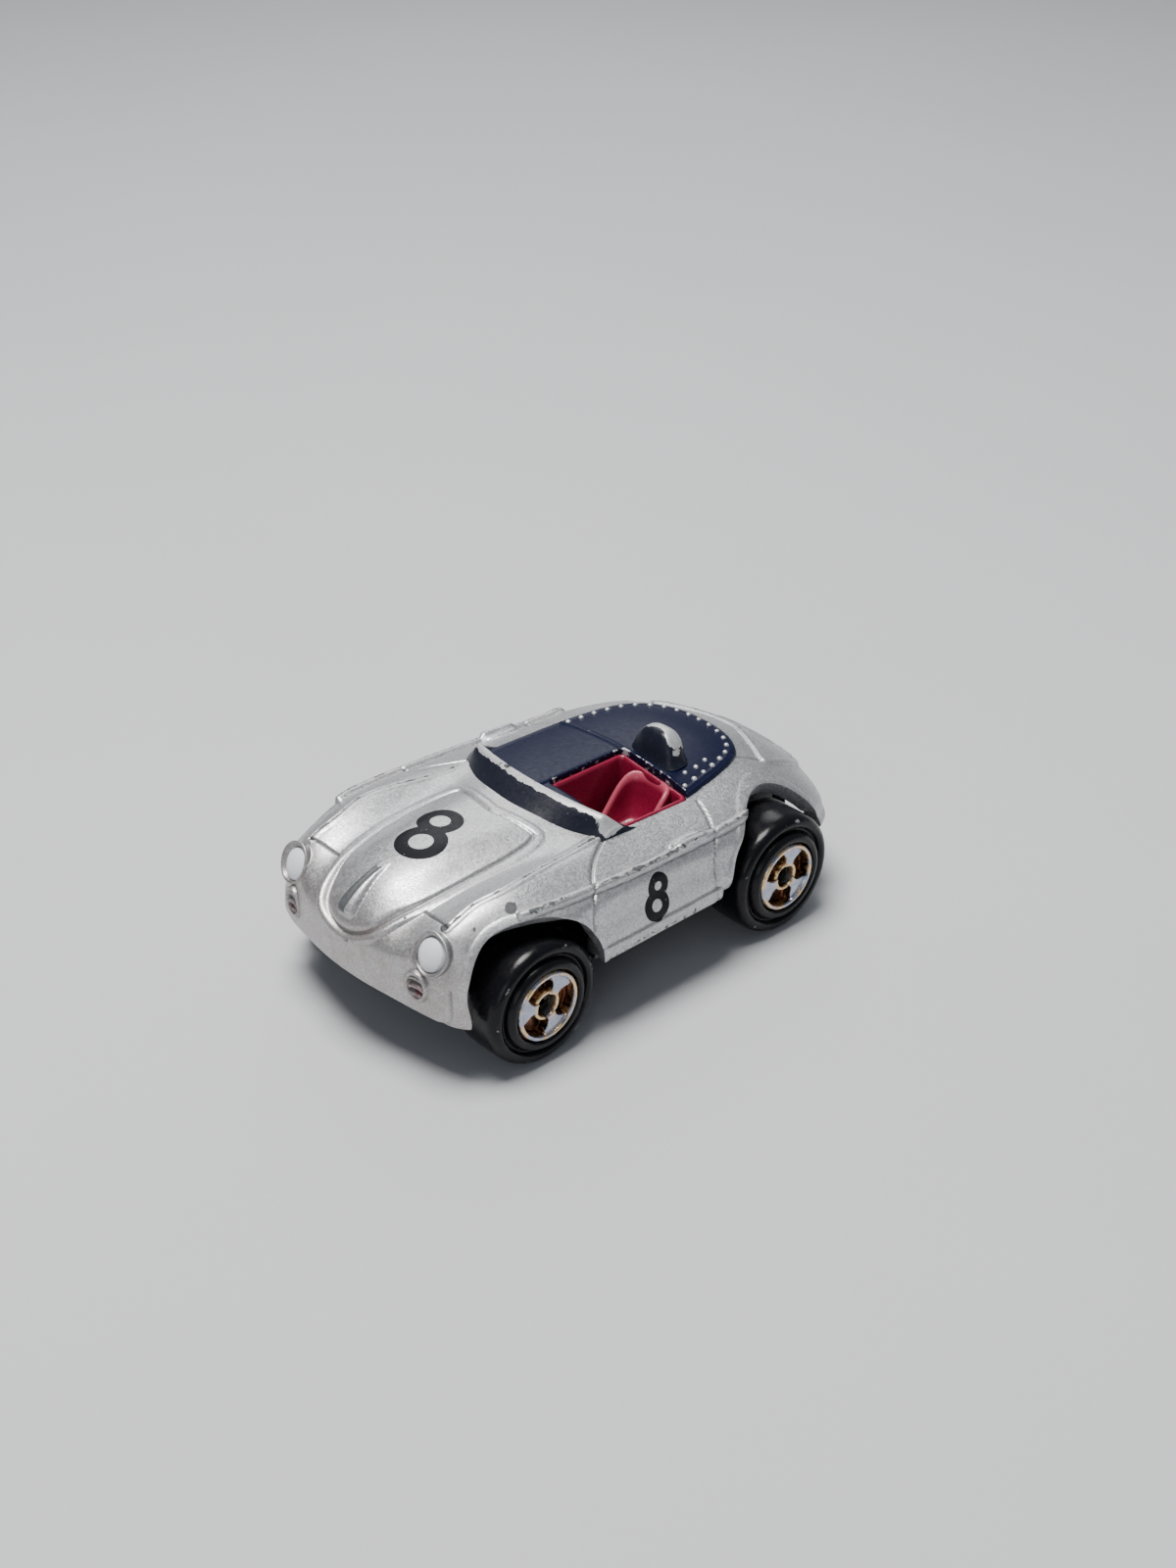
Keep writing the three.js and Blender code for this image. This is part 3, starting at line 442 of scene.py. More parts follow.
def metal_material(name, dark, light):
    """Drawn or turned metal, with lines along its length and a few dull patches."""
    g = Graph(name)
    stretch = g.node("ShaderNodeMapping", {"Vector": g.place, "Scale": (9, 0.4, 9)})
    lines = g.node("ShaderNodeTexNoise", {"Vector": stretch, "Scale": 900}, "Fac")
    colour = g.mix(g.noise(0.9, 5), dark, light)
    return g.set(Base_Color=colour, Metallic=1.0,
                 Roughness=g.range(lines, 0.3, 0.7, 0.2, 0.45),
                 Normal=g.bump(lines, 0.01, 0.4))


def floor_material():
    g = Graph("floor_pale")
    colour = g.mix(g.noise(0.02, 4), (0.50, 0.51, 0.53), (0.55, 0.56, 0.58))
    return g.set(Base_Color=colour, Roughness=0.85)


PAINT = paint_material()
ENAMEL = trim_material()
STUD = stud_material()
WHEEL = wheel_material()
INSERT = insert_material()
RED = red_material()
LENS = lens_material()
BASE = plastic_material("base_black", (0.008, 0.008, 0.01), (0.024, 0.024, 0.027), 0.3, 0.5)
NYLON = plastic_material("nylon_white", (0.5, 0.49, 0.45), (0.66, 0.65, 0.61), 0.4, 0.6)
STEEL = metal_material("steel_wire", (0.32, 0.32, 0.33), (0.62, 0.62, 0.63))
BRASS = metal_material("cut_brass", (0.5, 0.34, 0.13), (0.78, 0.58, 0.28))


# ---- body shell ----
HOOD = [(0.44, 0.0), (0.47, 0.5), (0.62, 0.93), (0.87, 1.14), (1.2, 1.29), (1.6, 1.45), (2.0, 1.6),
        (2.5, 1.75), (2.9, 1.86), (3.5, 1.97), (4.04, 1.97), (4.6, 1.88), (5.1, 1.68), (5.18, 1.4),
        (5.13, 1.0), (5.05, 0.0)]
HOOD_HANDLE = [(1.45, 0.08), (1.9, 0.08), (2.4, 0.07), (3.0, 0.06)]
LAMP_SEAM = [(2.81, 2.01), (2.69, 2.48), (2.45, 3.03)]
CREST = [(2.45, 3.03), (2.96, 3.09), (3.45, 3.08), (4.02, 3.15), (4.8, 2.85), (5.4, 2.7), (5.89, 2.62)]
DOOR_FRONT = [(5.89, 2.69), (5.56, 3.19), (5.2, 3.87), (4.93, 4.9), (4.86, 6.1), (4.87, 6.95)]
DOOR_REAR = [(7.09, 3.04), (7.01, 3.99), (6.86, 5.2), (6.8, 6.3), (6.8, 6.95)]
FENDER_SEAM = [(1.8, 5.4), (1.82, 6.1), (1.83, 7.1)]
BELT = [(3.85, 4.15), (4.31, 4.3), (5.06, 4.46), (5.97, 4.55), (6.92, 4.5), (7.36, 4.4), (7.95, 4.25)]
DOOR_HANDLE = [(6.45, 4.42), (6.6, 4.33), (6.76, 4.36)]
SILL = [(4.86, 6.78), (5.8, 6.82), (6.82, 6.8)]
LID = [(9.15, 0.0), (9.1, 0.4), (8.98, 0.8), (8.84, 1.35), (8.72, 1.95), (8.6, 2.4), (8.8, 2.55),
       (9.4, 2.4), (10.0, 2.2), (10.4, 1.5), (10.5, 0.0)]
LOUVRE_PITCH = 0.09          # in stations
LID_SEAM = [(8.12, 1.95), (8.35, 2.17), (8.58, 2.38)]
# Route, width, depth, darkness of the painted shade in the groove, and wear.
SEAMS = ((LAMP_SEAM, 0.07, 0.12, 0.9, 0.25), (DOOR_FRONT, 0.075, 0.13, 0.65, 0),
         (DOOR_REAR, 0.065, 0.11, 0.55, 0), (FENDER_SEAM, 0.09, 0.1, 0.4, 0), (LID_SEAM, 0.07, 0.09, 0.35, 0))
COVER_PLAN = [(2.75, 0.0), (2.6, 2.2), (2.1, 4.1), (1.5, 5.3), (0.6, 5.5), (-4.3, 5.5), (-6.0, 5.2),
              (-8.0, 4.8), (-9.8, 4.1), (-10.8, 2.8), (-11.2, 1.2), (-11.2, 0.0)]
COCKPIT_PLAN = (-4.55, 1.04, 0.1, 5.5)
COCKPIT_CORNER = 0.3
CROSS_BEAD_X = -4.6          # bead across the cover, behind the cockpit
HEADLIGHT = ((14.0, 5.72, 7.6), 0.1, 0.41, 0.88, 0.97)     # centre, yaw, pitch, half width, half height
SIGNAL = ((14.6, 5.2, 5.7), 0.15, 0.0, 0.6, 0.78)
NUMERAL_HOOD = ((10.0, 0.12), (8.0, -0.72), 1.43, 1.27, 0.68, 0.57)
NUMERAL_DOOR = ((1.09, 6.3), (0.84, 7.35), 0.88, 0.74, 0.36, 0.26)
ARCHES = ((9.2, 4.5, 4.15, 1.35), (-8.6, 4.2, 4.3, 1.0))   # centre x and z, radius, squareness in front
WING_CHIPS = ((9.71, 7.05, 9.18, 0.55, 1.1), (13.0, 5.6, 8.75, 0.4, 0.75),   # place, radius, strength
              (11.9, 6.7, 8.7, 0.3, 0.7))
SHELL_GRID = 560             # points each way over the skin
LIP_DEPTHS = (0.05, 0.3, WALL)
LINING_STEP = 5              # the inner skin takes every fifth point


def lamp_frame(lamp):
    """Centre of a lamp on the left, the way it faces, and its across and up directions."""
    centre, yaw, pitch = np.array(lamp[0]), lamp[1], lamp[2]
    normal = np.array([math.cos(pitch) * math.cos(yaw), math.cos(pitch) * math.sin(yaw), math.sin(pitch)])
    across = np.array([-math.sin(yaw), math.cos(yaw), 0])
    return centre, normal, across, np.cross(normal, across)


def lamp_seat(points, normals, lamp):
    """Distance ratio from a lamp's centre, local coordinates, and the rise that reaches its plane."""
    centre, facing, across, up = lamp_frame(lamp)
    offset = points - centre
    a, b = offset @ across / lamp[3], offset @ up / lamp[4]
    depth = offset @ facing
    ratio = np.where(np.abs(depth) > 1.6, 9.0, np.hypot(a, b))
    toward = np.clip(normals @ facing, 0.35, 1)
    return ratio, a, b, np.where(ratio < 2, -depth / toward, 0)


def plan_distance(x, y, outline):
    """Signed distance in plan to a closed outline, negative inside."""
    outline = np.asarray(outline, float)
    points = np.stack([x, y], -1)
    closed = np.concatenate([outline, outline[:1]])
    distance = np.full(x.shape, 9.0)
    for a, b in zip(closed[:-1], closed[1:]):
        edge = b - a
        reach = np.clip((points - a) @ edge / (edge @ edge), 0, 1)
        distance = np.minimum(distance, np.hypot(x - a[0] - reach * edge[0], y - a[1] - reach * edge[1]))
    return np.where(inside(x, y, outline), -distance, distance)


def cover_outline():
    half = rounded(COVER_PLAN, 3)
    return np.concatenate([half, half[-2:0:-1] * [1, -1]])


def numeral_distance(u, v, spec):
    """Signed distance to a figure made of two rings, negative where the figure is printed."""
    low, high, low_r, high_r, low_hole, high_hole = spec
    d_low = np.hypot(u - low[0], v - low[1])
    d_high = np.hypot(u - high[0], v - high[1])
    outer = np.minimum(d_low - low_r, d_high - high_r)
    holes = np.maximum(low_hole - d_low, high_hole - d_high)
    return np.maximum(outer, holes)


def arch_distance(x, z, arch):
    cx, cz, radius, power = arch
    dx, dz = x - cx, z - cz
    far = np.hypot(dx, dz) + 1e-9
    p = np.where(dx > 0, power, 1.0)
    reach = radius * ((np.abs(dx) / far) ** (2 * p) + (np.abs(dz) / far) ** (2 * p)) ** (-0.5 / p)
    return far - reach


def rounded_box_distance(x, y, limits, corner):
    x0, x1, y0, y1 = limits
    dx = np.abs(x - (x0 + x1) / 2) - (x1 - x0) / 2 + corner
    dy = np.abs(y - (y0 + y1) / 2) - (y1 - y0) / 2 + corner
    return np.hypot(np.maximum(dx, 0), np.maximum(dy, 0)) + np.minimum(np.maximum(dx, dy), 0) - corner


def opening_distance(points, stations, rounds):
    """Distance to the nearest edge of the casting: positive on metal, negative in an opening."""
    x, y, z = points[..., 0], points[..., 1], points[..., 2]
    edge = np.minimum(*[np.where(np.abs(y) > 5.2, arch_distance(x, z, arch), 9) for arch in ARCHES])
    box = rounded_box_distance(x, y, COCKPIT_PLAN, COCKPIT_CORNER)
    edge = np.minimum(edge, np.where(z > 7.5, box, 9))
    limit = 7.3 + 1.75 * np.clip((2.0 - stations) / 0.95, 0, 1) + 1.9 * np.clip((stations - 10) / 0.9, 0, 1)
    under = np.where(limit > 9.02, 0.4, limit - np.abs(rounds))
    return np.minimum(edge, under)


class SkinGrid:
    """Both sides of the skin, with what is raised, worn and darkened with painted shade at each point."""

    def __init__(self, rows, columns):
        stations = np.linspace(0.004, 11.996, rows)
        rounds = np.linspace(-9, 9, columns)
        self.flat = skin(stations, rounds)
        self.s, self.r = np.meshgrid(stations, rounds, indexing="ij")
        self.ar = np.abs(self.r)
        normal = np.cross(np.gradient(self.flat, axis=1), np.gradient(self.flat, axis=0))
        normal /= np.linalg.norm(normal, axis=-1, keepdims=True) + 1e-12
        self.normal = -normal if normal[rows // 2, columns // 2, 2] < 0 else normal
        self.x, self.y, self.z = self.flat[..., 0], self.flat[..., 1], self.flat[..., 2]
        self.left = self.flat * [1, 0, 1] + np.abs(self.flat) * [0, 1, 0]
        self.rise = np.zeros(self.s.shape)
        self.wear = np.zeros(self.s.shape)
        self.crease_shade = np.zeros(self.s.shape)

    def near(self, route, count=70):
        """Distance to a route on the left of the skin, or to its mirror image."""
        path, _ = on_skin(route, count)
        return distance_to(self.left, path)

    def panel(self, outline, count):
        """Signed distance to the edge of a panel that lies across the centre line, negative inside."""
        outline = rounded(outline, 3)
        edge = self.near(outline, count)
        closed = np.concatenate([outline, [(outline[-1][0], -0.1), (outline[0][0], -0.1)]])
        return np.where(inside(self.s, self.ar, closed), -edge, edge)


def bonnet(g):
    """Panel with a raised rim and a valley inside it, and the handle at its nose."""
    signed = g.panel(HOOD, 160)
    front = 1 - smooth(g.s, 1.6, 3.4)
    rim = 0.07 + 0.13 * front * smooth(g.s, 0.3, 1.2)
    g.rise += ridge(signed, 0.27, rim) + 0.07 * smooth(-signed, 0.36, 0.5)
    g.rise += groove(signed + 0.36, 0.07 + 0.16 * front, 0.09 + 0.13 * front)
    g.wear += 0.42 * bell(signed - 0.05, 0.12) * (0.35 + front)
    # painted shade in the valley inside the rim, wider towards the nose
    g.crease_shade += (0.55 - 0.2 * front) * bell(signed + 0.36, 0.05 + 0.04 * front)
    gap = g.near(HOOD_HANDLE, 60)
    along = smooth(g.s, 1.45, 3.0)
    fade = smooth(g.s, 1.2, 1.5) * (1 - smooth(g.s, 2.7, 3.1))
    g.rise += ridge(gap, 0.5 - 0.33 * along, 0.42 - 0.28 * along) * fade
    g.wear += 1.5 * bell(gap, 0.42 - 0.24 * along) * fade * (1 - 0.4 * along) * (g.y < 0.2)


def seams(g):
    for route, width, depth, darkness, worn in SEAMS:
        gap = g.near(route)
        g.rise += groove(gap, width, depth)
        # painted shade along the seam's groove
        g.crease_shade += darkness * bell(gap, width * 0.9)
        g.wear += worn * bell(gap, 0.2)


def mouldings(g):
    """Wing crest, belt line, door handle and sill."""
    gap = g.near(CREST)
    g.rise += ridge(gap, 0.3, 0.06) + groove(gap, 0.05, 0.05)
    g.wear += 0.62 * bell(gap, 0.13)
    # painted shade in the fine groove along the crest
    g.crease_shade += 0.3 * bell(gap, 0.05)
    gap = g.near(BELT, 120)
    g.rise += ridge(gap, 0.27, 0.32)
    # painted shade along both edges of the belt line
    g.crease_shade += 0.3 * bell(gap - 0.29, 0.05)
    g.wear += 0.66 * bell(gap, 0.2)
    g.rise += ridge(g.near(DOOR_HANDLE), 0.38, 0.26)
    gap = g.near(SILL)
    g.rise += ridge(gap, 0.42, 0.44)
    # painted shade along both edges of the sill
    g.crease_shade += 0.3 * bell(gap - 0.43, 0.05)
    g.wear += 0.5 * bell(gap, 0.22)


def engine_lid(g):
    """Panel with a raised edge and a block of louvres."""
    signed = g.panel(LID, 120)
    g.rise += ridge(signed, 0.28, 0.16) + 0.05 * smooth(-signed, 0, 0.3)
    g.wear += 0.5 * bell(signed, 0.2) * (g.ar < 2.2)
    block = smooth(-signed, 0.2, 0.5) * (g.ar < 0.9) * (g.s > 9.45) * (g.s < 10.1)
    slats = np.sin(g.s * 2 * np.pi / LOUVRE_PITCH)
    g.rise += 0.08 * block * slats
    # painted shade in the louvres' troughs
    g.crease_shade += 0.3 * block * (slats < -0.3)


def lamps(g):
    """Headlight bezels, and ribbed signal lamps with a little red left between the ribs."""
    mirrored = g.normal * [1, 0, 1] + g.normal * np.sign(g.y + 1e-9)[..., None] * [0, 1, 0]
    q, _, _, level = lamp_seat(g.left, mirrored, HEADLIGHT)
    seat = 1 - smooth(q, 1.1, 1.24)
    relief = 0.12 + ridge(q - 1.05, 0.09, 0.1) - 0.3 * (1 - smooth(q, 0.9, 1.0))
    g.rise = g.rise * (1 - seat) + seat * (level + relief)
    g.wear = g.wear * (1 - seat) + 0.55 * bell(q - 1.14, 0.08)
    # painted shade round the outer and inner edges of the headlight bezel
    g.crease_shade += 0.6 * bell(q - 1.2, 0.05) + 0.5 * bell(q - 1.0, 0.05)
    q, a, b, level = lamp_seat(g.left, mirrored, SIGNAL)
    ribs = np.cos((b + 0.25 * a * a) * 9.6) * 0.5 + 0.5
    seat = 1 - smooth(q, 1.12, 1.26)
    relief = 0.12 + ridge(q - 1.02, 0.16, 0.12) + (0.24 * ribs - 0.16) * (1 - smooth(q, 0.72, 0.86))
    g.rise = g.rise * (1 - seat) + seat * (level + relief)
    glass = 1 - smooth(q, 0.78, 0.92)
    g.signal = glass * (1 - 0.6 * ribs) * smooth(-b, -0.5, 0.4)
    # painted shade between the signal's ribs, round its glass and round its bezel
    g.crease_shade += 0.75 * glass * (1 - ribs) ** 2 + 0.5 * bell(q - 0.85, 0.06)
    g.crease_shade += 0.5 * bell(q - 1.28, 0.05)
    g.wear += 0.4 * bell(q - 1.03, 0.12)


def tonneau_cover(g):
    """Raised cover with a cross bead, a centre bead ahead of it, and a hem."""
    g.cover = np.where(g.z > 7.5, plan_distance(g.x, g.y, cover_outline()), 9)
    g.rise += (COVER_RISE - 0.04) * smooth(-g.cover, -0.02, 0.14)
    on_cover = smooth(-g.cover, 0.2, 0.35)
    ahead = g.x - CROSS_BEAD_X
    g.rise += on_cover * (ridge(ahead, 0.13, 0.09) + ridge(g.y + 0.02, 0.13, 0.09) * (ahead > 0))
    g.rise += 0.03 * bell(g.cover + 0.42, 0.08) * (g.x < 1.8)
    cockpit = rounded_box_distance(g.x, g.y, COCKPIT_PLAN, COCKPIT_CORNER)
    g.wear += 0.5 * bell(cockpit, 0.1) * (g.z > 7.5) * (g.cover < 0.3)
    g.wear += on_cover * (0.34 * bell(ahead, 0.12) + 0.2 * bell(g.y, 0.1) * (ahead > 0))


def wing_edges(g):
    """Lips round the wheel openings, and the chips on top of the front wings."""
    lips = np.minimum(*[arch_distance(g.x, g.z, arch) for arch in ARCHES])
    g.rise += ridge(lips - 0.1, 0.24, 0.05) * (np.abs(g.y) > 5.2) * (g.z > 4.8)
    g.wear += 0.3 * bell(lips, 0.12) * (np.abs(g.y) > 7) * (g.z > 6.5)
    for x, y, z, radius, strength in WING_CHIPS:
        reach = np.sqrt((g.x - x) ** 2 + (g.y - y) ** 2 + (g.z - z) ** 2)
        g.wear += strength * (1 - smooth(reach, radius * 0.3, radius))


def body_surface(rows, columns):
    """The displaced skin with its normals, what is painted and worn on it, and its open edges."""
    g = SkinGrid(rows, columns)
    for shape in (bonnet, seams, mouldings, engine_lid, lamps, tonneau_cover, wing_edges):
        shape(g)
    hood_ink = np.where(g.z > 8, numeral_distance(g.x, g.y, NUMERAL_HOOD), 9)
    door_ink = np.where((np.abs(g.y) > 7.5) & (g.z < 8.6), numeral_distance(g.x, g.z, NUMERAL_DOOR), 9)
    # painted shade: darker on the low nose and in the creases, and darker towards the bottom
    painted_shade = smooth(g.x, 11.2, 14.2) * smooth(-g.z, -9.6, -6.8) + 0.8 * g.crease_shade
    painted_shade += 0.4 * smooth(-g.z, -5.6, -4.9)
    points = g.flat + g.normal * g.rise[..., None]
    points = np.clip(points, [TAIL_TIP[0], -HALF_WIDTH, 0], [NOSE_TIP[0], HALF_WIDTH, 12])
    values = {"wear": np.clip(g.wear, 0, 1.4), "crease_shade": np.clip(g.crease_shade, 0, 1), "cover": g.cover,
              "numeral": np.minimum(hood_ink, door_ink), "painted_shade": np.clip(painted_shade, 0, 1), "signal": g.signal}
    return points, g.normal, values, opening_distance(g.flat, g.s, g.r)


def cut_to_edge(points, edge):
    """Grid points, those beside an opening moved onto its edge, and the triangles outside it."""
    rows, columns = edge.shape
    spots = points.reshape(-1, 3).copy()
    gap = edge.ravel().copy()
    index = np.arange(rows * columns).reshape(rows, columns)
    pairs = np.concatenate([np.stack([index[:-1].ravel(), index[1:].ravel()], 1),
                            np.stack([index[:, :-1].ravel(), index[:, 1:].ravel()], 1)])
    crossing = pairs[gap[pairs[:, 0]] * gap[pairs[:, 1]] < 0]
    share = gap[crossing[:, 0]] / (gap[crossing[:, 0]] - gap[crossing[:, 1]])
    start, end = spots[crossing[:, 0]], spots[crossing[:, 1]]
    target = start * (1 - share[:, None]) + end * share[:, None]
    mover = np.where(share < 0.5, crossing[:, 0], crossing[:, 1])
    spots[mover] = target
    gap[mover] = 0
    a, b, c, d = grid_faces(rows, columns).T
    turned = (gap[a] * gap[c] < 0)[:, None]
    first = np.where(turned, np.stack([a, b, d], 1), np.stack([a, b, c], 1))
    second = np.where(turned, np.stack([b, c, d], 1), np.stack([a, c, d], 1))
    faces = np.concatenate([first, second])
    level = gap[faces]
    return spots, faces[(level.min(1) >= 0) & (level.max(1) > 0)]


def open_edges(points, faces):
    """Edges with a face on one side only, apart from those at the two tips."""
    edges = np.concatenate([faces[:, [0, 1]], faces[:, [1, 2]], faces[:, [2, 0]]])
    key = np.sort(edges, axis=1)
    order = key[:, 0].astype(np.int64) * len(points) + key[:, 1]
    _, first_at, count = np.unique(order, return_index=True, return_counts=True)
    rim = edges[first_at[count == 1]]
    for tip in (NOSE_TIP, TAIL_TIP):
        rim = rim[np.abs(points[rim[:, 0]] - tip).sum(1) > 0.3]
    return rim


def body_shell():
    """Outer skin cut to the openings, with a lip of the casting's thickness round each one."""
    points, normal, values, edge = body_surface(SHELL_GRID, SHELL_GRID)
    spots, faces = cut_to_edge(points, edge)
    used = np.unique(faces)
    renumber = np.full(len(spots), -1)
    renumber[used] = np.arange(len(used))
    faces = renumber[faces]
    spots, normals = spots[used], normal.reshape(-1, 3)[used]
    rim = open_edges(spots, faces)
    lip = np.unique(rim)
    place = np.full(len(spots), -1)
    place[lip] = np.arange(len(lip))
    layers, all_faces = [spots], [faces]
    offset, previous = len(spots), lip
    for depth in LIP_DEPTHS:
        layers.append(spots[lip] - normals[lip] * depth)
        fresh = offset + np.arange(len(lip))
        old_a, old_b = previous[place[rim[:, 0]]], previous[place[rim[:, 1]]]
        new_a, new_b = fresh[place[rim[:, 0]]], fresh[place[rim[:, 1]]]
        all_faces.append(np.stack([old_b, old_a, new_a], 1))
        all_faces.append(np.stack([old_b, new_a, new_b], 1))
        previous = fresh
        offset += len(lip)
    attributes = {}
    for key, value in values.items():
        outer = value.ravel()[used]
        inner = np.clip(outer[lip], 0, 0.5) if key == "wear" else outer[lip]
        attributes[key] = np.concatenate([outer] + [inner] * len(LIP_DEPTHS))
    shell = make("body_paint", np.concatenate(layers), np.concatenate(all_faces), "car", PAINT, attributes)
    return [shell, body_lining(points - normal * WALL, edge)]


def body_lining(inner, edge):
    """Plain inner skin of the casting."""
    inner, level = inner[::LINING_STEP, ::LINING_STEP], edge[::LINING_STEP, ::LINING_STEP]
    quads = grid_faces(*level.shape)
    keep = level.ravel()[quads].min(1) > 0.02
    blank = {key: np.full(level.size, 0.0) for key in ("wear", "crease_shade", "painted_shade", "signal")}
    clear = {key: np.full(level.size, 9.0) for key in ("cover", "numeral")}
    return make("body_inner_skin", inner.reshape(-1, 3), quads[keep][:, ::-1], "car", PAINT, blank | clear)


# ---- windscreen, headrest and studs ----
SCREEN_FOOT, SCREEN_HEAD = 3.95, 2.52      # x of the foot and of the top edge on the centre line
SCREEN_TOP, SCREEN_HALF = 10.62, 5.65      # height of the top edge and half the width
HEADREST = (-5.6, 1.8, 1.72)               # x, y and height of the hump


def windscreen():
    """Curved frame leaning back from the cowl, thick at the foot, its top edge worn bright."""
    across = np.linspace(-1, 1, 160)
    outline = rounded([(0.0, 0.0), (0.02, 0.4), (0.03, 0.8), (0.12, 0.97), (0.45, 1.04), (0.85, 1.0),
                       (1.0, 0.82), (1.02, 0.4), (1.1, 0.0)], 2)
    rings, wear = [], []
    for u in across:
        taper = 1 - smooth(abs(u), 0.9, 1.0)
        foot_x = SCREEN_FOOT - 1.86 * u * u
        foot = np.array([foot_x, deck_height(foot_x - 0.35, SCREEN_HALF * u) - 0.12])
        head = np.array([SCREEN_HEAD - 0.86 * u * u, SCREEN_TOP - 0.28 * u * u])
        head[1] = foot[1] + (head[1] - foot[1]) * (0.45 + 0.55 * taper)
        depth = 0.55 + 0.5 * (1 - taper)
        ring = []
        for back, up in outline:
            spot = foot + (head - foot) * up
            thick = depth * back * (1 + 1.1 * (1 - up))
            ring.append((spot[0] - thick, (SCREEN_HALF + 0.12 * (1 - taper)) * u, spot[1]))
            bright = 0.95 * smooth(up, 0.8, 0.98) * (1 - 0.6 * smooth(back, 0.6, 1.0))
            wear.append(bright + 0.9 * smooth(u, 0.8, 0.95) * smooth(up, 0.2, 0.6) * (back < 0.9))
        rings.append(ring)
    return loft("windscreen_frame", rings, "car", ENAMEL, {"wear": wear})


def headrest():
    """Fairing behind the driver: a broad rounded hump standing on the cover."""
    rows, columns = 56, 120
    points, wear = [], []
    x_mid, y_mid, height = HEADREST
    foot = deck_height(x_mid - 0.2, y_mid) + 0.1
    for i in range(rows):
        phi = (i / (rows - 1)) * math.pi / 2
        level, girth = math.sin(phi), math.cos(phi) ** 0.62
        for c, s in turn(columns):
            skirt = 1 + 0.16 * (1 - level) ** 6
            square = (abs(c) ** 3 + abs(s) ** 3) ** (-1 / 3)
            x = x_mid + (0.68 if c > 0 else 1.1) * girth * skirt * square * c - 0.3 * level
            y = y_mid + 1.6 * girth * skirt * square * s
            z = foot + (height - 0.35 * smooth(y, 2.2, 3.6)) * level
            points.append((x, y, z))
            worn = 1.1 * smooth(level, 0.64, 0.88) + 0.75 * smooth(level, 0.3, 0.6) * smooth(s, 0.35, 0.85)
            wear.append(worn * smooth(c, 1.0, 0.2))
    faces = grid_faces(rows, columns, wrap=True)
    return make("headrest_fairing", points, faces, "car", ENAMEL, {"wear": wear})


def studs():
    """Silver snap studs along the rear hem of the cover, with a second short row by the driver."""
    hem = rounded(COVER_PLAN, 4)
    hem = hem[hem[:, 0] < -4.9]
    full = np.concatenate([hem, hem[-2::-1] * [1, -1]])
    length = np.concatenate([[0], np.cumsum(np.linalg.norm(np.diff(full, axis=0), axis=1))])
    inner = full * [0.97, 0.9] + [0.12, 0]
    places = [np.array([np.interp(d, length, inner[:, k]) for k in (0, 1)])
              for d in np.linspace(0.2, length[-1] - 0.2, 21)]
    places += [np.array(spot) for spot in ((-5.7, 4.0), (-6.6, 3.95), (-7.5, 3.75))]
    profile = [(0.0, 0.12), (0.06, 0.115), (0.11, 0.09), (0.14, 0.05), (0.155, 0.0), (0.165, -0.1)]
    points, faces = [], []
    for place in places:
        height = deck_height(*place) + COVER_RISE - 0.03
        start = len(points)
        size = rng.uniform(0.85, 1.1)
        for radius, up in profile:
            points += [(place[0] + size * radius * c, place[1] + size * radius * s, height + up * size)
                       for c, s in turn(16)]
        faces += (grid_faces(len(profile), 16, wrap=True)[:, ::-1] + start).tolist()
    return make("snap_studs", points, faces, "car", STUD)


DECK = skin(np.linspace(3.5, 10, 391), np.linspace(0, 4.2, 169))


def deck_height(x, y):
    """Height of the skin over a point in plan."""
    gap = np.hypot(DECK[..., 0] - x, DECK[..., 1] - abs(y))
    return DECK[..., 2].ravel()[gap.argmin()]


def lenses():
    """Headlight lenses, domed and set in their bezels."""
    centre, facing, across, up = lamp_frame(HEADLIGHT)
    half_width, half_height = HEADLIGHT[3:]
    for name, side in (("left", 1), ("right", -1)):
        rows, columns = 18, 72
        points = []
        for i in range(rows):
            q = 0.97 * (1 - i / (rows - 1))
            bulge = 0.3 * (1 - q ** 2.4) + 0.02 if i else -0.25
            for c, s in turn(columns):
                out = across * half_width * c + up * half_height * s
                points.append((centre + q * out + facing * bulge) * [1, side, 1])
        faces = grid_faces(rows, columns, wrap=True)[:, ::side]
        piece = make("headlight_lens_" + name, points, faces, "car", LENS)
        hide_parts("headlight_" + name)


# ---- interior ----
def rounded_rectangle(x0, x1, y0, y1, corner, z, count=12):
    points = []
    for cx, cy, start in ((x1 - corner, y1 - corner, 0), (x0 + corner, y1 - corner, 90),
                          (x0 + corner, y0 + corner, 180), (x1 - corner, y0 + corner, 270)):
        for k in range(count):
            angle = math.radians(start + 90 * k / (count - 1))
            points.append((cx + corner * math.cos(angle), cy + corner * math.sin(angle), z))
    return points


TUB_FLOOR = 5.5
SEAT_X, SEAT_Y, SEAT_HALF = -2.35, 2.95, 1.62
SEAT_FRONT, SEAT_BACK_RISE = 6.55, 2.75    # height of the rim in front, and how much the back adds
SEAT_BED = 6.35


def tub():
    """Lining of the cockpit: a lip on the casting's edge, then walls down to a flat floor."""
    x0, x1, y0, y1 = COCKPIT_PLAN
    rings = []
    for inset, drop, height in ((0.1, 0, 4.75), (0.04, 0.22, 0), (0.06, 0.06, 0), (0.12, 0.0, 0),
                                (0.2, 0.0, 0), (0.27, 0.08, 0), (0.3, 0.25, 0), (0.42, 0, 7.0),
                                (0.5, 0, 6.1), (0.62, 0, 5.75), (0.95, 0, 5.55), (1.5, 0, TUB_FLOOR),
                                (2.3, 0, TUB_FLOOR)):
        ring = rounded_rectangle(x0 + inset, x1 - inset, y0 + inset, y1 - inset, 0.3, height)
        if not height:
            ring = [(x, y, deck_height(x, y) + 0.02 - drop) for x, y, _ in ring]
        rings.append(ring)
    return loft("interior_tub", rings, "car", RED, {"rim": [0.0] * len(rings[0]) * len(rings)})


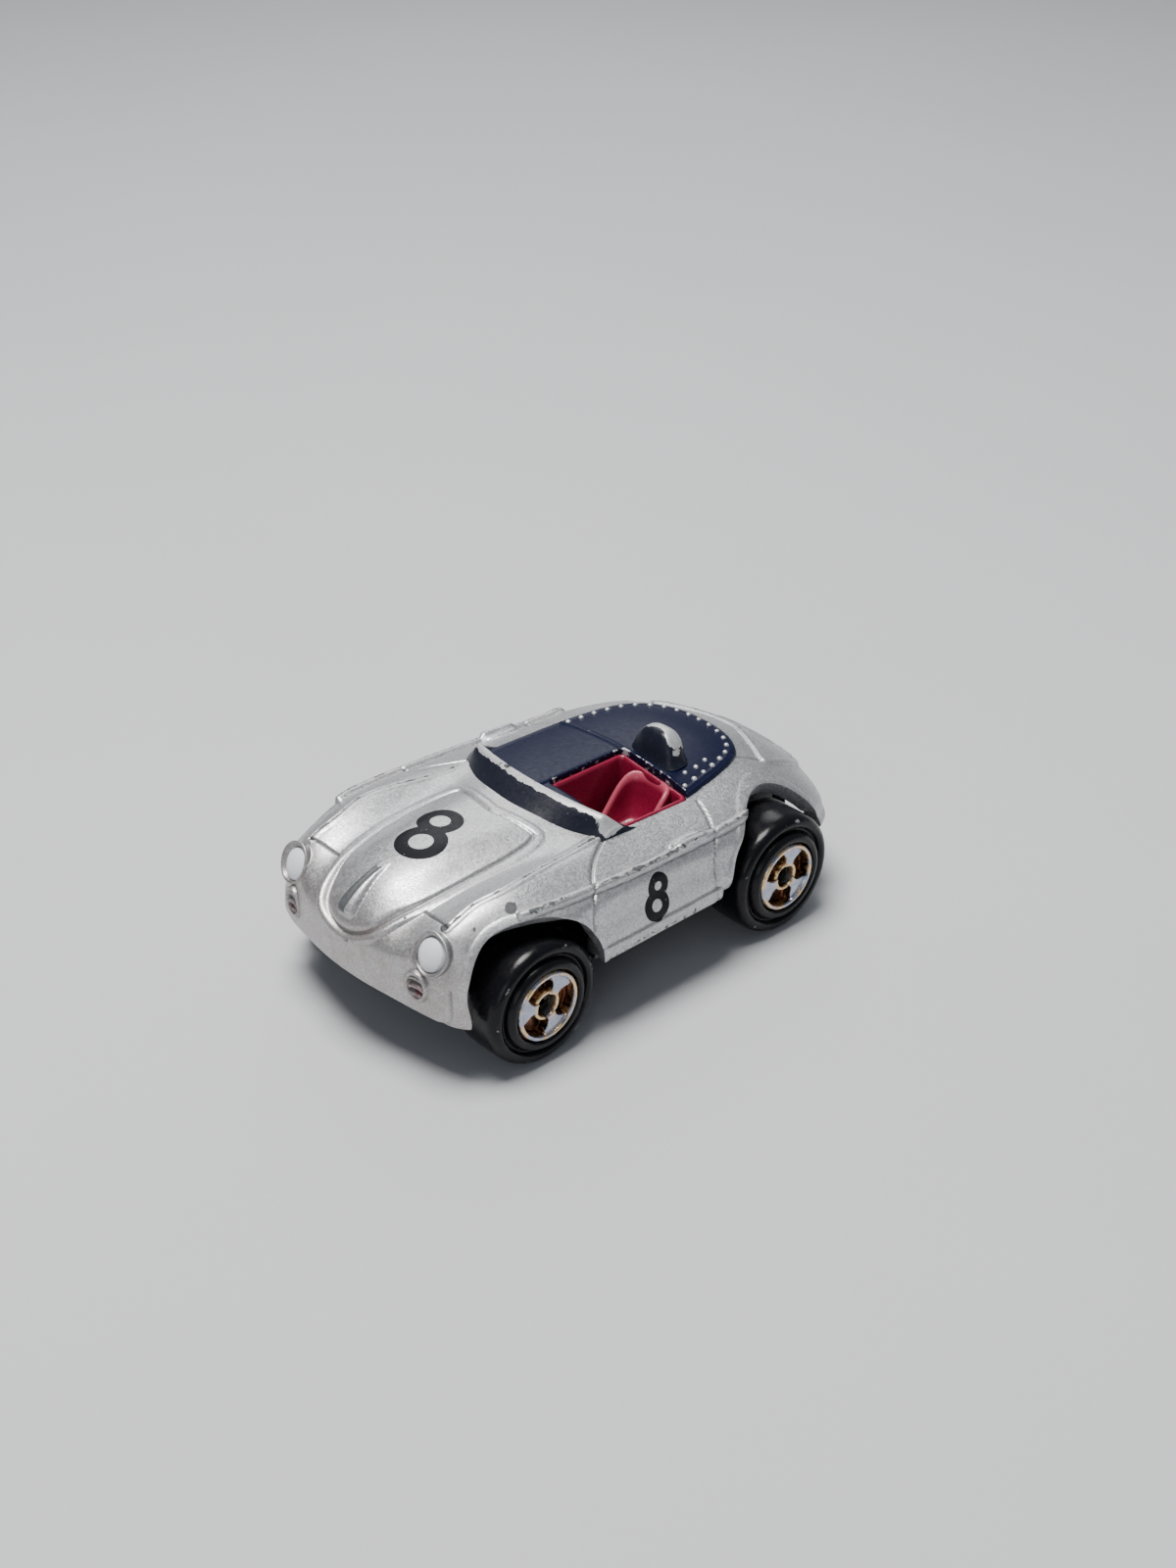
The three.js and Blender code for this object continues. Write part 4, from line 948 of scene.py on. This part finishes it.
def bucket_seat():
    """Squarish bucket with a raised rim that climbs to a leaning back."""
    columns = 96
    layers = ((1.06, -1.0, "floor"), (1.1, -0.45, "out"), (1.08, -0.1, "out"), (1.05, 0.06, "rim"),
              (0.99, 0.12, "rim"), (0.92, 0.08, "rim"), (0.87, -0.04, "in"), (0.84, -0.25, "in"),
              (0.78, -0.7, "in"), (0.66, -0.95, "bed"), (0.4, -1.0, "bed"), (0.12, -1.0, "bed"))
    points, rim = [], []
    for size, drop, kind in layers:
        for c, s in turn(columns):
            back = smooth(((1 - c) / 2) ** 1.15, 0.05, 0.85)
            top = SEAT_FRONT + SEAT_BACK_RISE * back
            bed = SEAT_BED - 0.25 * c
            level = {"floor": TUB_FLOOR - 0.05, "out": top + drop * 0.9, "rim": top + drop * 0.9,
                     "in": bed + (top - bed) * (1 + 1.1 * (drop - 0.12)),
                     "bed": bed + 0.15 * (1 - size)}[kind]
            lean = 0.48 * back * (level - 5.4) / 4
            reach = SEAT_HALF * size * (abs(c) ** 3.2 + abs(s) ** 3.2) ** (-1 / 3.2)
            points.append((SEAT_X + reach * c - lean, SEAT_Y + reach * s, level))
            # marks the rows on the rim, painted a lighter red as a highlight
            rim.append(1.0 if kind == "rim" else 0.0)
    faces = grid_faces(len(layers), columns, wrap=True).tolist()
    faces.append([(len(layers) - 1) * columns + k for k in range(columns)])
    return make("bucket_seat", points, faces, "car", RED, {"rim": rim})


def interior():
    pieces = [tub(), bucket_seat()]
    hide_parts("interior_insert")


# ---- wheels ----
WHEEL_PROFILE = [(0.42, 6.0), (1.15, 6.0), (1.22, 7.1), (2.7, 7.12), (2.9, 5.95), (3.1, 5.82),
                 (3.4, 5.82), (3.6, 5.95), (3.64, 6.25), (3.645, 7.2), (3.64, 8.2), (3.6, 8.5),
                 (3.46, 8.76), (3.24, 8.88), (3.04, 8.87), (2.93, 8.74), (2.84, 8.6), (2.74, 8.62),
                 (2.66, 8.85), (2.56, 9.02), (2.42, 9.1), (2.24, 9.11), (2.14, 9.03), (2.11, 8.8),
                 (2.11, 7.95), (0.42, 7.95)]
WHEEL_STEPS = 144


def wheel(row, name, axle_x, side, body):
    profile = rounded(WHEEL_PROFILE, 2, closed=True)
    girth, depth = np.repeat(profile, WHEEL_STEPS, axis=0).T
    wear = bell(girth - 3.35, 0.25) * smooth(depth, 8.2, 8.7)
    piece = lathe(f"tyre_{row}_{name}", profile, WHEEL_STEPS, axle_x, side, body, WHEEL, {"wear": wear})
    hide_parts(f"wheel_{row}_{name}")
    return piece


HUB_TURN = {"front": math.radians(10), "rear": math.radians(-12)}
POCKET_Y, SPOKE_RISE = 8.42, 0.58          # floor of the pockets, and the spokes above it


def hub(row, name, axle_x, side, body):
    """Plated disc with three flat spokes that widen to the rim, deep pockets, and a sunk centre painted near
    black as shade.
    """
    rings, columns = 64, 216
    points, height, rim, hole_shade, collar = [], [], [], [], []
    radii = np.concatenate([[0.2, 0.42, 0.45], np.linspace(0.48, 2.02, rings - 6), [2.05, 2.06, 2.06]])
    for k, radius in enumerate(radii):
        for j in range(columns):
            angle = 2 * math.pi * j / columns
            local = (angle - HUB_TURN[row] + math.pi / 3) % (2 * math.pi / 3) - math.pi / 3
            half = 0.30 / max(radius, 0.3) + 0.30 * smooth(radius, 0.9, 1.7)
            spoke = 1 - smooth(abs(local), half - 0.05, half + 0.11)
            ring = smooth(radius, 1.66, 1.78)
            boss = 1 - smooth(radius, 0.84, 0.96)
            level = max(spoke, ring, boss * 0.85)
            sunk = 1 - smooth(radius, 0.6, 0.68)
            face = POCKET_Y + SPOKE_RISE * level * (1 - 0.1 * (radius / 2) ** 2)
            face += 0.16 * smooth(radius, 1.72, 1.82)
            face -= 0.5 * sunk
            face -= 0.12 * smooth(radius, 1.95, 2.06)
            if k >= rings - 2:
                face = 8.2 if k == rings - 1 else 8.7
            x, z = axle_x + radius * math.cos(angle), AXLE_Z + radius * math.sin(angle)
            points.append((x, side * face, z))
            height.append(level)
            rim.append(smooth(radius, 1.68, 1.8))
            # the sunk centre, to be painted near black as shade
            hole_shade.append(sunk)
            bare = 1 - 0.6 * spoke * smooth(radius, 0.7, 0.9)
            collar.append((1 - smooth(radius, 0.86, 0.98)) * (1 - sunk) * bare)
    faces = grid_faces(rings, columns, wrap=True)[:, ::side]
    piece = make(f"insert_{row}_{name}", points, faces, body, INSERT,
                 {"height": height, "rim": rim, "hole_shade": hole_shade, "collar": collar})
    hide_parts(f"hub_insert_{row}_{name}")
    return piece


def wheels():
    for row, axle_x in (("front", FRONT_AXLE_X), ("rear", REAR_AXLE_X)):
        body = row + "_wheels"
        for name, side in (("left", 1), ("right", -1)):
            wheel(row, name, axle_x, side, body)
            hub(row, name, axle_x, side, body)


# ---- base, motor and stage ----
def finish_frame_parts():
    """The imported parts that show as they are: rounded edges and real finishes."""
    finishes = {"chassis_base": (BASE, 0.12),
                "motor_case_left": (NYLON, 0.08), "motor_case_right": (NYLON, 0.08),
                "front_axle": (STEEL, 0.05), "rear_axle": (STEEL, 0.05),
                "rivet_front": (STEEL, 0.05), "rivet_rear": (STEEL, 0.05),
                "axle_pinion": (BRASS, 0.02), "compound_gear": (NYLON, 0.02),
                "spring_gear": (NYLON, 0.02), "mainspring": (STEEL, 0.01),
                "compound_arbor": (STEEL, 0.03), "spring_arbor": (STEEL, 0.03)}
    for node, (material, width) in finishes.items():
        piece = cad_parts[node]
        piece.data.materials.clear()
        piece.data.materials.append(material)
        bevel = piece.modifiers.new("edges", "BEVEL")
        bevel.width = width * MM
        bevel.segments = 3
        bevel.limit_method = "ANGLE"
        bevel.angle_limit = math.radians(40)


FLOOR_HALF = 0.5             # metres


def stage():
    floor = bpy.data.meshes.new("floor")
    corners = [(FLOOR_HALF * x, FLOOR_HALF * y, 0) for x, y in ((-1, -1), (1, -1), (1, 1), (-1, 1))]
    floor.from_pydata(corners, [], [(0, 1, 2, 3)])
    floor.materials.append(floor_material())
    ground = bpy.data.objects.new("floor", floor)
    bpy.context.scene.collection.objects.link(ground)
    lamps = (("key", (0.03, -0.02, 0.26), 0.13, 1.25, (1, 0.98, 0.95)),
             ("fill", (0.24, 0.14, 0.12), 0.16, 0.09, (0.9, 0.94, 1)),
             ("back", (-0.14, -0.16, 0.16), 0.12, 0.12, (1, 1, 1)))
    for name, place, width, power, colour in lamps:
        light = bpy.data.lights.new(name, "AREA")
        light.shape = "DISK"
        light.size = width
        light.energy = power
        light.color = colour
        item = bpy.data.objects.new(name, light)
        item.location = place
        item.rotation_euler = (-Vector(place)).to_track_quat("-Z", "Y").to_euler()
        bpy.context.scene.collection.objects.link(item)
    world = bpy.data.worlds.new("studio")
    world.use_nodes = True
    sky = world.node_tree.nodes["Background"]
    sky.inputs["Color"].default_value = (0.8, 0.85, 0.95, 1)
    sky.inputs["Strength"].default_value = 0.25
    bpy.context.scene.world = world


CAMERA_PLACE = Vector((74.408, 83.483, 77.4))
CAMERA_PITCH = math.radians(31.27)


def camera():
    """Three-quarter view from the front left, looking down."""
    lens = bpy.data.cameras.new("camera")
    lens.sensor_width = 36
    lens.lens = 54.27
    lens.clip_start = 0.001
    eye = bpy.data.objects.new("camera", lens)
    ahead = Vector((-0.577, -0.630, -math.sin(CAMERA_PITCH)))
    eye.location = (CAMERA_PLACE + Vector((FRAME_SHIFT, 0, 0))) * MM
    eye.rotation_euler = ahead.to_track_quat("-Z", "Y").to_euler()
    bpy.context.scene.collection.objects.link(eye)
    bpy.context.scene.camera = eye


shell_pieces = body_shell()
shell_pieces += [windscreen(), headrest(), studs()]
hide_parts("body_shell")
lenses()
interior()
wheels()
finish_frame_parts()
stage()
camera()
